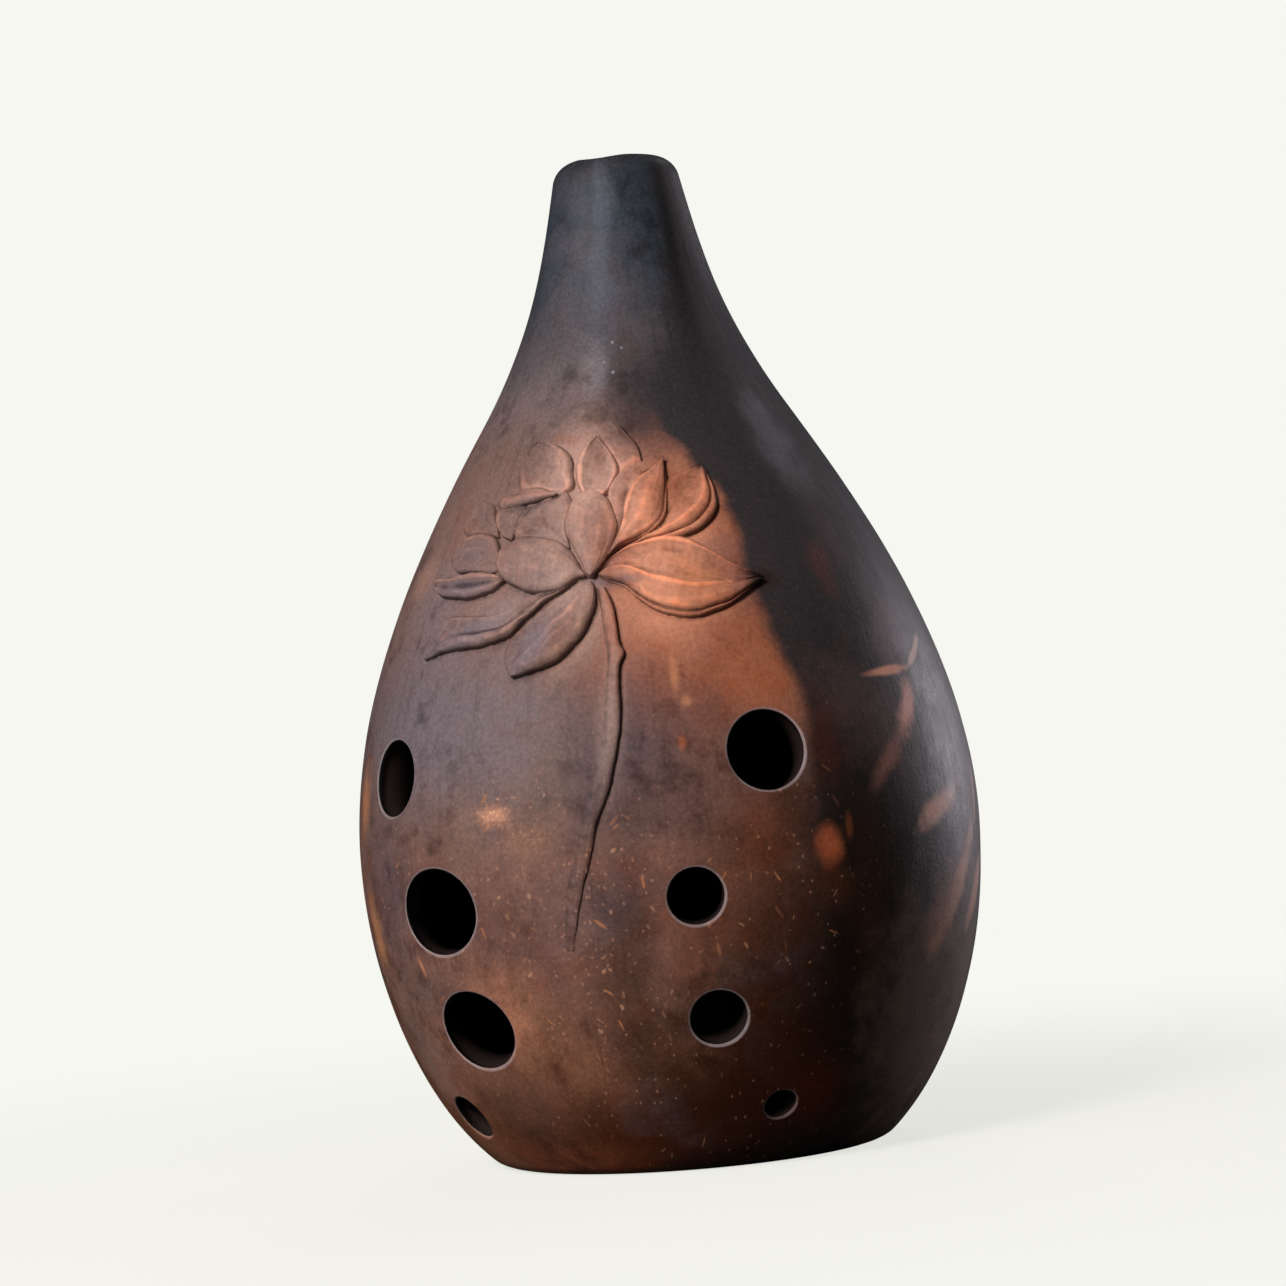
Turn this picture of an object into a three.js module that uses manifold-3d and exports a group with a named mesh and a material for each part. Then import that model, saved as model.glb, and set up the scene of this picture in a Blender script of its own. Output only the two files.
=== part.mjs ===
import * as THREE from 'three';
import { mergeVertices } from 'three/addons/utils/BufferGeometryUtils.js';
import Module from 'manifold-3d';

const wasm = await Module();
wasm.setup();

// A pear-shaped vessel flute of fired clay, with a lotus laid on its front.
// Sizes are in millimetres. +Z is up, the eight finger holes face -Y, and
// the origin is the centre of the flat foot that it stands on.

const degree = Math.PI / 180;

// Body sizes
const body_height = 155;
const belly_radius = 48.4;
const foot_radius = 30;
const neck_radius = 10;
const lip_round = 4;
const wall = 5;
const base_thickness = 4;
const mouth_ring_height = 7;

// Outline of the body: leans are angles from the vertical, and each pull is the
// length of a curve's handle, as a share of the height that the curve climbs.
const foot_lean = 50 * degree;
const waist_lean = 32 * degree;
const neck_lean = 12 * degree;
const belly_height_share = 0.315;
const waist_height_share = 0.74;
const waist_radius_share = 0.493;
const foot_pull_share = 0.31;
const belly_lower_pull_share = 0.41;
const belly_upper_pull_share = 0.39;
const waist_lower_pull_share = 0.29;
const waist_upper_pull_share = 0.475;
const neck_pull_share = 0.315;

// Blow hole, with a blowing edge sloped away on its front side
const blow_hole_diameter = 9;
const blowing_edge_depth = 2.2;
const blowing_edge_tilt = 42 * degree;

// Finger and thumb holes: heights over the foot, and angles round the body
// from the middle of the front or, for the thumbs, of the back. A heading is
// the angle that a bore which doesn't run straight in comes from.
const index_hole_height = 61.5;
const middle_hole_height = 41.3;
const ring_hole_height = 23.3;
const little_hole_height = 9.3;
const thumb_hole_height = 64;
const index_hole_angle = 38.9 * degree;
const left_middle_angle = 26.6 * degree;
const right_middle_angle = 24 * degree;
const left_ring_angle = 23.4 * degree;
const right_ring_angle = 26.8 * degree;
const little_hole_angle = 40.4 * degree;
const thumb_hole_angle = 28 * degree;
const left_index_diameter = 11.3;
const right_index_diameter = 11.6;
const left_middle_diameter = 12.7;
const right_middle_diameter = 8.1;
const left_ring_diameter = 12.2;
const right_ring_diameter = 8.2;
const left_little_diameter = 7.6;
const right_little_diameter = 4.8;
const thumb_hole_diameter = 10.5;
const left_middle_heading = 8 * degree;
const left_ring_heading = 5 * degree;
const hole_edge_softening = 0.7;
const hole_edge_depth = 1.3;

// Lotus relief: the heart is where all petals and the stem meet
const lotus_reach = 30;
const lotus_heart_height = 88.6;
const lotus_heart_across = 5.3;
const relief_seat_gap = 0.3;
const petal_gap = 0.3;
const petal_edge_height = 0.5;
const petal_crown_height = 1.1;
const full_petal_crown_height = 1.7;
const thin_petal_crown_height = 0.8;
const stem_top_width = 2.3;
const stem_foot_width = 1.5;
const stem_crown_height = 0.7;
const stem_edge_height = 0.35;

// Fineness of the faceted solids
const cut_overrun = 3;
const merge_distance = 0.0001;
const body_sides = 60;
const chamber_sides = 40;
const lower_outline_steps = 8;
const upper_outline_steps = 9;
const neck_outline_steps = 5;
const lip_steps = 4;
const surface_steps = 60;
const hole_sides = 20;
const petal_rows = 9;
const petal_columns = 4;
const stem_rows = 18;
const stem_columns = 2;

// Each petal runs from its base to its tip, between two curves with two handles
// each. Left and right are as seen from the base, looking at the tip. Places are
// shares of the lotus's reach, across and up from its heart. A petal lies over
// those that come after it in the list.
const petal_shares = [
  {
    name: 'centre_oval_petal', crown: full_petal_crown_height, keel_share: 0.45,
    base: [0, 0], tip: [-0.05, 0.43],
    left: [[-0.12, 0.13], [-0.3, 0.4]],
    right: [[0.12, 0.13], [0.17, 0.42]],
  },
  {
    name: 'left_oval_petal', crown: full_petal_crown_height, keel_share: 0.4,
    base: [-0.035, 0.02], tip: [-0.545, 0.105],
    left: [[-0.17, -0.083], [-0.5, -0.08]],
    right: [[-0.13, 0.235], [-0.55, 0.35]],
  },
  {
    name: 'right_large_petal', crown: petal_crown_height, keel_share: 0.62,
    base: [0.03, 0.005], tip: [0.87, -0.065],
    left: [[0.17, 0.2], [0.5, 0.25]],
    right: [[0.17, -0.085], [0.5, -0.37]],
  },
  {
    name: 'lower_left_petal', crown: petal_crown_height, keel_share: 0.4,
    base: [-0.02, -0.02], tip: [-0.4, -0.45],
    left: [[0.085, -0.17], [-0.07, -0.435]],
    right: [[-0.2, -0.115], [-0.485, -0.215]],
  },
  {
    name: 'long_left_petal', crown: petal_crown_height, keel_share: 0.35,
    base: [-0.115, -0.035], tip: [-1, -0.325],
    left: [[-0.33, -0.185], [-0.6, -0.365]],
    right: [[-0.37, -0.115], [-0.73, -0.115]],
  },
  {
    name: 'upper_right_petal', crown: petal_crown_height, keel_share: 0.4,
    base: [0.02, 0.027], tip: [0.285, 0.57],
    left: [[0.115, 0.235], [-0.085, 0.565]],
    right: [[0.165, 0.15], [0.45, 0.185]],
  },
  {
    name: 'far_right_petal', crown: petal_crown_height, keel_share: 0.6,
    base: [0.15, 0.105], tip: [0.485, 0.515],
    left: [[0.265, 0.265], [0.285, 0.515]],
    right: [[0.365, 0.105], [0.735, 0.265]],
  },
  {
    name: 'curled_inner_petal', crown: petal_crown_height, keel_share: 0.5,
    base: [-0.245, 0.425], tip: [-0.587, 0.413],
    left: [[-0.33, 0.39], [-0.47, 0.37]],
    right: [[-0.3, 0.52], [-0.47, 0.475]],
  },
  {
    name: 'small_inner_petal', crown: thin_petal_crown_height, keel_share: 0.5,
    base: [-0.477, 0.237], tip: [-0.367, 0.383],
    left: [[-0.617, 0.267], [-0.617, 0.4]],
    right: [[-0.427, 0.28], [-0.45, 0.333]],
  },
  {
    name: 'left_curled_petal', crown: petal_crown_height, keel_share: 0.5,
    base: [-0.483, 0.027], tip: [-1, 0.035],
    left: [[-0.6, -0.053], [-0.835, -0.06]],
    right: [[-0.635, 0.107], [-0.867, 0.097]],
  },
  {
    name: 'left_middle_petal', crown: petal_crown_height, keel_share: 0.6,
    base: [-0.517, 0.1], tip: [-0.893, 0.153],
    left: [[-0.633, 0.05], [-0.8, 0.067]],
    right: [[-0.55, 0.283], [-0.8, 0.367]],
  },
  {
    name: 'inner_back_petal', crown: thin_petal_crown_height, keel_share: 0.5,
    base: [-0.133, 0.167], tip: [-0.283, 0.453],
    left: [[-0.433, 0.217], [-0.483, 0.367]],
    right: [[-0.167, 0.267], [-0.117, 0.417]],
  },
  {
    name: 'left_back_petal', crown: thin_petal_crown_height, keel_share: 0.5,
    base: [-0.55, 0.25], tip: [-0.853, 0.417],
    left: [[-0.667, 0.217], [-0.8, 0.233]],
    right: [[-0.583, 0.367], [-0.7, 0.427]],
  },
  {
    name: 'back_centre_petal', crown: petal_crown_height, keel_share: 0.5,
    base: [-0.033, 0.383], tip: [-0.063, 0.707],
    left: [[-0.167, 0.467], [-0.183, 0.6]],
    right: [[0.117, 0.433], [0.05, 0.617]],
  },
  {
    name: 'upper_left_petal', crown: petal_crown_height, keel_share: 0.5,
    base: [-0.283, 0.417], tip: [-0.407, 0.713],
    left: [[-0.5, 0.467], [-0.533, 0.65]],
    right: [[-0.133, 0.417], [-0.133, 0.7]],
  },
  {
    name: 'back_folded_petal', crown: thin_petal_crown_height, keel_share: 0.5,
    base: [0.09, 0.49], tip: [-0.047, 0.793],
    left: [[0.03, 0.56], [-0.073, 0.667]],
    right: [[0.21, 0.54], [0.167, 0.7]],
  },
];

// The stem climbs from its fading foot to the heart, in the same shares
const stem_line_shares = [
  [-0.155, -1.77], [-0.065, -1.43], [0.02, -1.17], [0.1, -0.9],
  [0.133, -0.65], [0.137, -0.4], [0.097, -0.2], [0.027, -0.035],
];

// Colours of the fired clay
const front_clay = { color: 0x6b5148, roughness: 0.55, metalness: 0 };
const back_clay = { color: 0x2b2726, roughness: 0.5, metalness: 0 };
const foot_clay = { color: 0x35241d, roughness: 0.6, metalness: 0 };
const mouth_clay = { color: 0x3d3f43, roughness: 0.5, metalness: 0 };
const petal_clay = { color: 0xa0664a, roughness: 0.6, metalness: 0 };
const stem_clay = { color: 0x6e4c40, roughness: 0.6, metalness: 0 };

function solid_from(geometry) {
  const bare = geometry.index ? geometry.toNonIndexed() : geometry.clone();
  bare.deleteAttribute('normal');
  bare.deleteAttribute('uv');
  const merged = mergeVertices(bare, merge_distance);
  const corners = merged.index.array;
  const kept = [];
  for (let i = 0; i < corners.length; i += 3) {
    const [a, b, c] = [corners[i], corners[i + 1], corners[i + 2]];
    if (a !== b && b !== c && c !== a) kept.push(a, b, c);
  }
  return new wasm.Manifold(new wasm.Mesh({
    numProp: 3,
    vertProperties: Float32Array.from(merged.attributes.position.array),
    triVerts: Uint32Array.from(kept),
  }));
}

function mesh_from(solid, name, finish) {
  const shape = solid.getMesh();
  const geometry = new THREE.BufferGeometry();
  geometry.setAttribute('position', new THREE.BufferAttribute(shape.vertProperties, 3));
  geometry.setIndex(new THREE.BufferAttribute(shape.triVerts, 1));
  geometry.computeVertexNormals();
  const mesh = new THREE.Mesh(geometry, new THREE.MeshStandardMaterial(finish));
  mesh.name = name;
  return mesh;
}

// Outline curves, with x as the distance from the axis and y as the height
function body_curves() {
  const belly_height = body_height * belly_height_share;
  const waist_height = body_height * waist_height_share;
  const lip_centre = new THREE.Vector2(neck_radius - lip_round, body_height - lip_round);
  const foot = new THREE.Vector2(foot_radius, 0);
  const belly = new THREE.Vector2(belly_radius, belly_height);
  const waist = new THREE.Vector2(belly_radius * waist_radius_share, waist_height);
  const neck_out = new THREE.Vector2(Math.cos(neck_lean), Math.sin(neck_lean));
  const neck = lip_centre.clone().addScaledVector(neck_out, lip_round);
  const foot_way = new THREE.Vector2(Math.sin(foot_lean), Math.cos(foot_lean));
  const waist_way = new THREE.Vector2(-Math.sin(waist_lean), Math.cos(waist_lean));
  const neck_way = new THREE.Vector2(-Math.sin(neck_lean), Math.cos(neck_lean));
  const upright = new THREE.Vector2(0, 1);
  const belly_climb = waist_height - belly_height;
  const neck_climb = neck.y - waist_height;
  const lower = new THREE.CubicBezierCurve(
    foot,
    foot.clone().addScaledVector(foot_way, belly_height * foot_pull_share),
    belly.clone().addScaledVector(upright, -belly_height * belly_lower_pull_share),
    belly,
  );
  const upper = new THREE.CubicBezierCurve(
    belly,
    belly.clone().addScaledVector(upright, belly_climb * belly_upper_pull_share),
    waist.clone().addScaledVector(waist_way, -belly_climb * waist_lower_pull_share),
    waist,
  );
  const throat = new THREE.CubicBezierCurve(
    waist,
    waist.clone().addScaledVector(waist_way, neck_climb * waist_upper_pull_share),
    neck.clone().addScaledVector(neck_way, -neck_climb * neck_pull_share),
    neck,
  );
  const lip = new THREE.EllipseCurve(
    lip_centre.x, lip_centre.y, lip_round, lip_round, neck_lean, Math.PI / 2,
  );
  return { lower, upper, throat, lip };
}

function side_points(lower_steps, upper_steps, throat_steps) {
  const curves = body_curves();
  return [
    ...curves.lower.getPoints(lower_steps),
    ...curves.upper.getPoints(upper_steps).slice(1),
    ...curves.throat.getPoints(throat_steps).slice(1),
  ];
}

// Outward direction of the outline at each of its points
function outline_normals(points) {
  return points.map((point, i) => {
    const before = points[Math.max(i - 1, 0)];
    const after = points[Math.min(i + 1, points.length - 1)];
    return new THREE.Vector2(after.y - before.y, before.x - after.x).normalize();
  });
}

function turned_solid(outline, sides) {
  const geometry = new THREE.LatheGeometry(outline, sides);
  geometry.rotateX(Math.PI / 2);
  return solid_from(geometry);
}

function body_solid() {
  const side = side_points(lower_outline_steps, upper_outline_steps, neck_outline_steps);
  const lip = body_curves().lip.getPoints(lip_steps).slice(1);
  const axis_foot = new THREE.Vector2(0, 0);
  const axis_top = new THREE.Vector2(0, body_height);
  return turned_solid([axis_foot, ...side, ...lip, axis_top], body_sides);
}

// The air chamber follows the outline, one wall thickness inside it
function chamber_solid() {
  const side = side_points(lower_outline_steps, upper_outline_steps, neck_outline_steps);
  const normals = outline_normals(side);
  const inside = side.map((point, i) => point.clone().addScaledVector(normals[i], -wall));
  const axis_foot = new THREE.Vector2(0, inside[0].y);
  const axis_top = new THREE.Vector2(0, inside[inside.length - 1].y);
  return turned_solid([axis_foot, ...inside, axis_top], chamber_sides);
}

// Outer radius and slope of the body at any height
const surface_side = side_points(surface_steps, surface_steps, surface_steps);
const surface_normals = outline_normals(surface_side);

function surface_at(height) {
  let above = surface_side.findIndex((point) => point.y > height);
  if (above < 1) above = height > surface_side[0].y ? surface_side.length - 1 : 1;
  const low = surface_side[above - 1];
  const high = surface_side[above];
  const part = (height - low.y) / (high.y - low.y);
  const normal = surface_normals[above - 1].clone().lerp(surface_normals[above], part);
  return { radius: low.x + (high.x - low.x) * part, normal: normal.normalize() };
}

// A place over the outer surface; the angle runs from the front towards +X
function over_surface(angle, height, lift) {
  const { radius, normal } = surface_at(height);
  const reach = radius + lift * normal.x;
  return new THREE.Vector3(
    reach * Math.sin(angle), -reach * Math.cos(angle), height + lift * normal.y,
  );
}

function outward_at(angle, height) {
  return over_surface(angle, height, wall).sub(over_surface(angle, height, 0)).normalize();
}

// A drill with a flared shoulder, which also softens the hole's outer edge. Its
// sections lie along the surface, and it leans sideways towards its heading.
function hole_drill(diameter, angle, height, heading = angle) {
  const radius = diameter / 2;
  const depth = wall + cut_overrun;
  const outline = [
    new THREE.Vector2(0, -depth),
    new THREE.Vector2(radius, -depth),
    new THREE.Vector2(radius, -hole_edge_depth),
    new THREE.Vector2(radius + hole_edge_softening, 0),
    new THREE.Vector2(radius + hole_edge_softening, cut_overrun),
    new THREE.Vector2(0, cut_overrun),
  ];
  const geometry = new THREE.LatheGeometry(outline, hole_sides);
  const lean = new THREE.Matrix4().makeShear(0, 0, Math.tan(heading - angle), 0, 0, 0);
  const widening = new THREE.Matrix4().makeScale(1 / Math.cos(heading - angle), 1, 1);
  const sideways = new THREE.Vector3(Math.cos(angle), Math.sin(angle), 0);
  const outward = outward_at(angle, height);
  const downward = sideways.clone().cross(outward);
  const turn = new THREE.Matrix4().makeBasis(sideways, outward, downward);
  geometry.applyMatrix4(turn.multiply(lean).multiply(widening));
  geometry.translate(...over_surface(angle, height, 0).toArray());
  return solid_from(geometry);
}

function finger_hole_drills() {
  return [
    hole_drill(left_index_diameter, -index_hole_angle, index_hole_height),
    hole_drill(right_index_diameter, index_hole_angle, index_hole_height),
    hole_drill(
      left_middle_diameter, -left_middle_angle, middle_hole_height, left_middle_heading,
    ),
    hole_drill(right_middle_diameter, right_middle_angle, middle_hole_height),
    hole_drill(left_ring_diameter, -left_ring_angle, ring_hole_height, left_ring_heading),
    hole_drill(right_ring_diameter, right_ring_angle, ring_hole_height),
    hole_drill(left_little_diameter, -little_hole_angle, little_hole_height),
    hole_drill(right_little_diameter, little_hole_angle, little_hole_height),
  ];
}

function thumb_hole_drills() {
  return [
    hole_drill(thumb_hole_diameter, Math.PI - thumb_hole_angle, thumb_hole_height),
    hole_drill(thumb_hole_diameter, Math.PI + thumb_hole_angle, thumb_hole_height),
  ];
}

// A block as wide as the body, between two heights and two depths
function block(low_y, high_y, low_z, high_z) {
  const width = 2 * (belly_radius + cut_overrun);
  const geometry = new THREE.BoxGeometry(width, high_y - low_y, high_z - low_z);
  geometry.translate(0, (low_y + high_y) / 2, (low_z + high_z) / 2);
  return solid_from(geometry);
}

const side_limit = belly_radius + cut_overrun;
const mouth_floor_height = body_height - mouth_ring_height;

function front_shell() {
  const front_half = block(-side_limit, 0, base_thickness, mouth_floor_height);
  let shell = body_solid().intersect(front_half).subtract(chamber_solid());
  for (const drill of finger_hole_drills()) shell = shell.subtract(drill);
  return mesh_from(shell, 'front_shell', front_clay);
}

function back_shell() {
  const back_half = block(0, side_limit, base_thickness, mouth_floor_height);
  let shell = body_solid().intersect(back_half).subtract(chamber_solid());
  for (const drill of thumb_hole_drills()) shell = shell.subtract(drill);
  return mesh_from(shell, 'back_shell', back_clay);
}

function base_disc() {
  const layer = block(-side_limit, side_limit, -cut_overrun, base_thickness);
  return mesh_from(body_solid().intersect(layer), 'base_disc', foot_clay);
}

function mouth_ring() {
  const top = body_height + cut_overrun;
  const layer = block(-side_limit, side_limit, mouth_floor_height, top);
  const radius = blow_hole_diameter / 2;
  const bore = new THREE.CylinderGeometry(radius, radius, 2 * body_height, hole_sides);
  bore.rotateX(Math.PI / 2);
  const bevel_length = blow_hole_diameter + cut_overrun;
  const bevel = new THREE.CylinderGeometry(radius, radius, bevel_length, hole_sides);
  bevel.rotateX(Math.PI / 2);
  bevel.translate(0, 0, bevel_length / 2);
  bevel.rotateX(blowing_edge_tilt);
  bevel.translate(0, 0, body_height - blowing_edge_depth);
  const ring = body_solid().intersect(layer).subtract(solid_from(bore));
  return mesh_from(ring.subtract(solid_from(bevel)), 'mouth_ring', mouth_clay);
}

// A place on the lotus, in millimetres across and up from its heart
function over_lotus(across, up, lift) {
  const height = lotus_heart_height + up;
  const angle = (lotus_heart_across + across) / surface_at(height).radius;
  return over_surface(angle, height, lift);
}

// A thin plate over the body, between two lists of points of equal length.
// Its underside stays at one lift, and its top follows top_lift(row, column).
function relief_plate(left, right, columns, under_lift, top_lift) {
  const rows = left.length - 1;
  const place = (row, column, lift) => {
    const across = left[row].clone().lerp(right[row], column / columns);
    return over_lotus(across.x, across.y, lift).toArray();
  };
  const corners = [];
  const top = (row, column) => place(row, column, top_lift(row / rows, column / columns));
  const under = (row, column) => place(row, column, under_lift);
  const quad = (a, b, c, d) => corners.push(...a, ...b, ...c, ...a, ...c, ...d);
  for (let r = 0; r < rows; r += 1) {
    for (let c = 0; c < columns; c += 1) {
      quad(top(r, c), top(r, c + 1), top(r + 1, c + 1), top(r + 1, c));
      quad(under(r, c), under(r + 1, c), under(r + 1, c + 1), under(r, c + 1));
    }
    quad(under(r, 0), top(r, 0), top(r + 1, 0), under(r + 1, 0));
    quad(top(r, columns), under(r, columns), under(r + 1, columns), top(r + 1, columns));
  }
  for (let c = 0; c < columns; c += 1) {
    quad(under(0, c), under(0, c + 1), top(0, c + 1), top(0, c));
    quad(under(rows, c + 1), under(rows, c), top(rows, c), top(rows, c + 1));
  }
  const geometry = new THREE.BufferGeometry();
  geometry.setAttribute('position', new THREE.Float32BufferAttribute(corners, 3));
  return solid_from(geometry);
}

function from_shares([across_share, up_share]) {
  return new THREE.Vector2(across_share * lotus_reach, up_share * lotus_reach);
}

function petal_side(petal, handles) {
  const points = [petal.base, ...handles, petal.tip].map(from_shares);
  return new THREE.CubicBezierCurve(...points).getPoints(petal_rows);
}

// The side moved outwards, away from the other side, and past both its ends
function widened_side(side, other, growth) {
  const last = side.length - 1;
  const length_way = side[last].clone().sub(side[0]).normalize();
  return side.map((point, i) => {
    if (i === 0) return point.clone().addScaledVector(length_way, -growth);
    if (i === last) return point.clone().addScaledVector(length_way, growth);
    const along = side[i + 1].clone().sub(side[i - 1]).normalize();
    const out = new THREE.Vector2(-along.y, along.x);
    if (out.dot(point.clone().sub(other[i])) < 0) out.negate();
    return point.clone().addScaledVector(out, growth);
  });
}

// Height over the seat: highest along the keel, low and even at the edges
function petal_lift(crown, keel_share) {
  return (along_share, across_share) => {
    const room_share = across_share < keel_share ? keel_share : 1 - keel_share;
    const away_share = Math.abs(across_share - keel_share) / room_share;
    const rise_share = (1 - away_share ** 2) * Math.sin(Math.PI * along_share) ** 0.6;
    return relief_seat_gap + petal_edge_height + (crown - petal_edge_height) * rise_share;
  };
}

function petal_solid(petal) {
  const left = petal_side(petal, petal.left);
  const right = petal_side(petal, petal.right);
  const lift = petal_lift(petal.crown, petal.keel_share);
  return relief_plate(left, right, petal_columns, relief_seat_gap, lift);
}

// The room that a petal takes from those behind it
function petal_room(petal) {
  const left = petal_side(petal, petal.left);
  const right = petal_side(petal, petal.right);
  const wide_left = widened_side(left, right, petal_gap);
  const wide_right = widened_side(right, left, petal_gap);
  const over = () => full_petal_crown_height + cut_overrun;
  return relief_plate(wide_left, wide_right, petal_columns, -wall, over);
}

function stem_solid(growth, under_lift, top_lift) {
  const line = new THREE.SplineCurve(stem_line_shares.map(from_shares));
  const left = [];
  const right = [];
  for (let row = 0; row <= stem_rows; row += 1) {
    const part = row / stem_rows;
    const middle = line.getPoint(part);
    const along = line.getTangent(part);
    const out = new THREE.Vector2(-along.y, along.x);
    const width = THREE.MathUtils.lerp(stem_foot_width, stem_top_width, part);
    left.push(middle.clone().addScaledVector(out, width / 2 + growth));
    right.push(middle.clone().addScaledVector(out, -width / 2 - growth));
  }
  return relief_plate(left, right, stem_columns, under_lift, top_lift);
}

function lotus_stem() {
  const rise = stem_crown_height - stem_edge_height;
  const lift = (along_share, across_share) => relief_seat_gap + stem_edge_height
    + rise * (1 - (2 * across_share - 1) ** 2) * along_share ** 0.5;
  let stem = stem_solid(0, relief_seat_gap, lift);
  for (const petal of petal_shares) stem = stem.subtract(petal_room(petal));
  return mesh_from(stem, 'lotus_stem', stem_clay);
}

function lotus_petals() {
  const rooms = petal_shares.map(petal_room);
  return petal_shares.map((petal, i) => {
    let solid = petal_solid(petal);
    for (const room of rooms.slice(0, i)) solid = solid.subtract(room);
    return mesh_from(solid, petal.name, petal_clay);
  });
}

const xun = new THREE.Group();
xun.add(base_disc(), front_shell(), back_shell(), mouth_ring());
const lotus = new THREE.Group();
lotus.add(lotus_stem(), ...lotus_petals());
xun.add(lotus);

export default xun;
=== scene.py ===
"""A pear-shaped vessel flute of smoke-fired clay, with a lotus in low relief.

Sizes are in millimetres until a mesh is made, and the mesh is in metres. The
eight finger holes and the lotus face -Y, the thumb holes face +Y, and the flat
foot stands at height zero. Azimuth runs from the middle of the front towards +X.
"""

import logging
import math
from dataclasses import dataclass, field
from enum import Enum

import bpy
import numpy as np
from mathutils import Matrix, Vector


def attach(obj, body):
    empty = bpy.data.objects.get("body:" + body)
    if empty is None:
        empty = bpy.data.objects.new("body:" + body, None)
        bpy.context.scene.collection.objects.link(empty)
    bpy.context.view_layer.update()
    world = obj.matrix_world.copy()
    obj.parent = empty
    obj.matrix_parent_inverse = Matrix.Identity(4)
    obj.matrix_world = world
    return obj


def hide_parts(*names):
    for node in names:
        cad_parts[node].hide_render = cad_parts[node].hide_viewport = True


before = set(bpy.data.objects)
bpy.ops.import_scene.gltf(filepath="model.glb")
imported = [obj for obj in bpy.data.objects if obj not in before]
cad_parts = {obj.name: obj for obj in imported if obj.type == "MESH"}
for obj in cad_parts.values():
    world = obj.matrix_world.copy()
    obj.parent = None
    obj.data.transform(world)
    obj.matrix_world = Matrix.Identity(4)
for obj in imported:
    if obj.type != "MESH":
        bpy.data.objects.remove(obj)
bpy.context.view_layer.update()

METRE = 0.001
ROOT = "root"
TINY = 1e-6
# Painted light and shade of the relief, kept at each point: lighter on crests, raised parts and edges that
# face the light; darker in grooves, under overlapping petals and on edges that turn from it.
RELIEF_SHADING = "relief_painted_shading"
DEPTH = "hole_depth"
SHADED_WAY = np.array([0.55, -0.83])
log = logging.getLogger("xun")

Point = tuple[float, float]
Stops = tuple[Point, ...]
Arrays = tuple[np.ndarray, ...]


def colour(code: str) -> tuple[float, float, float, float]:
    """Turn a written colour into the linear one that a shader takes.

    Args:
        code: six hexadecimal digits.

    Returns:
        Red, green, blue and an alpha of one.
    """
    levels = [int(code[i:i + 2], 16) / 255 for i in (0, 2, 4)]
    linear = [v / 12.92 if v <= 0.04045 else ((v + 0.055) / 1.055) ** 2.4 for v in levels]
    return (*linear, 1.0)


def pairs(text: str) -> np.ndarray:
    """Read pairs of numbers that are written as x,y and parted by spaces."""
    return np.array([pair.split(",") for pair in text.split()], float)


def eased(places: np.ndarray, stops: str) -> np.ndarray:
    """Read a smooth curve through a few stops.

    Args:
        places: where to read it.
        stops: places and values as text, in rising order of place.

    Returns:
        The value at each place, flat beyond the end stops.
    """
    xs, ys = pairs(stops).T
    steps = np.diff(ys) / np.diff(xs)
    slopes = np.zeros_like(ys)
    same_way = steps[1:] * steps[:-1] > 0
    harmonic = 2 * steps[1:] * steps[:-1] / np.where(same_way, steps[1:] + steps[:-1], 1)
    slopes[1:-1] = np.where(same_way, harmonic, 0)
    spot = np.clip(places, xs[0], xs[-1])
    i = np.clip(np.searchsorted(xs, spot, side="right") - 1, 0, len(xs) - 2)
    gap = xs[i + 1] - xs[i]
    t = (spot - xs[i]) / gap
    rise = ys[i + 1] - ys[i]
    bend = 3 * rise - gap * (2 * slopes[i] + slopes[i + 1])
    twist = gap * (slopes[i] + slopes[i + 1]) - 2 * rise
    return ys[i] + t * (gap * slopes[i] + t * (bend + t * twist))


def smoothly(value: np.ndarray, low: float, high: float) -> np.ndarray:
    """Rise from 0 where the value is low to 1 where it is high, without corners."""
    t = np.clip((value - low) / (high - low), 0, 1)
    return t * t * (3 - 2 * t)


def curve_through(points: str, count: int) -> np.ndarray:
    """Lay a smooth curve through points and walk along it in even steps.

    Args:
        points: the points as text, in order.
        count: how many places to return.

    Returns:
        An array of count places.
    """
    given = pairs(points)
    ends = np.vstack([2 * given[0] - given[1], given, 2 * given[-1] - given[-2]])
    t = np.linspace(0, 1, 24, endpoint=False)[:, None]
    runs = []
    for a, b, c, d in zip(ends[:-3], ends[1:-2], ends[2:-1], ends[3:]):
        cubic = 2 * b + (c - a) * t + (2 * a - 5 * b + 4 * c - d) * t ** 2
        runs.append((cubic + (3 * b - a - 3 * c + d) * t ** 3) / 2)
    fine = np.vstack([*runs, given[-1:]])
    walked = np.concatenate([[0], np.cumsum(np.hypot(*np.diff(fine, axis=0).T))])
    even = np.linspace(0, walked[-1], count)
    return np.stack([np.interp(even, walked, fine[:, k]) for k in (0, 1)], axis=1)


def nearest_on_line(places: np.ndarray, line: np.ndarray) -> Arrays:
    """Measure how far places lie from a line.

    Args:
        places: an array of flat places.
        line: the line's points, in order.

    Returns:
        The way from the nearest point of the line to each place, +1 where a place
        is on the line's left or -1 on its right, and how far along the line, from
        0 to 1, the nearest point lies.
    """
    start, way = line[:-1], np.diff(line, axis=0)
    away = places[:, None, :] - start[None]
    length_squared = np.maximum((way ** 2).sum(1), 1e-12)
    part = np.clip((away * way).sum(2) / length_squared, 0, 1)
    gap = away - part[..., None] * way
    reach = (gap ** 2).sum(2)
    k = reach.argmin(1)
    rows = np.arange(len(places))
    cross = way[k, 0] * away[rows, k, 1] - way[k, 1] * away[rows, k, 0]
    along = (k + part[rows, k]) / len(way)
    return gap[rows, k], np.where(cross >= 0, 1.0, -1.0), along


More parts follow.
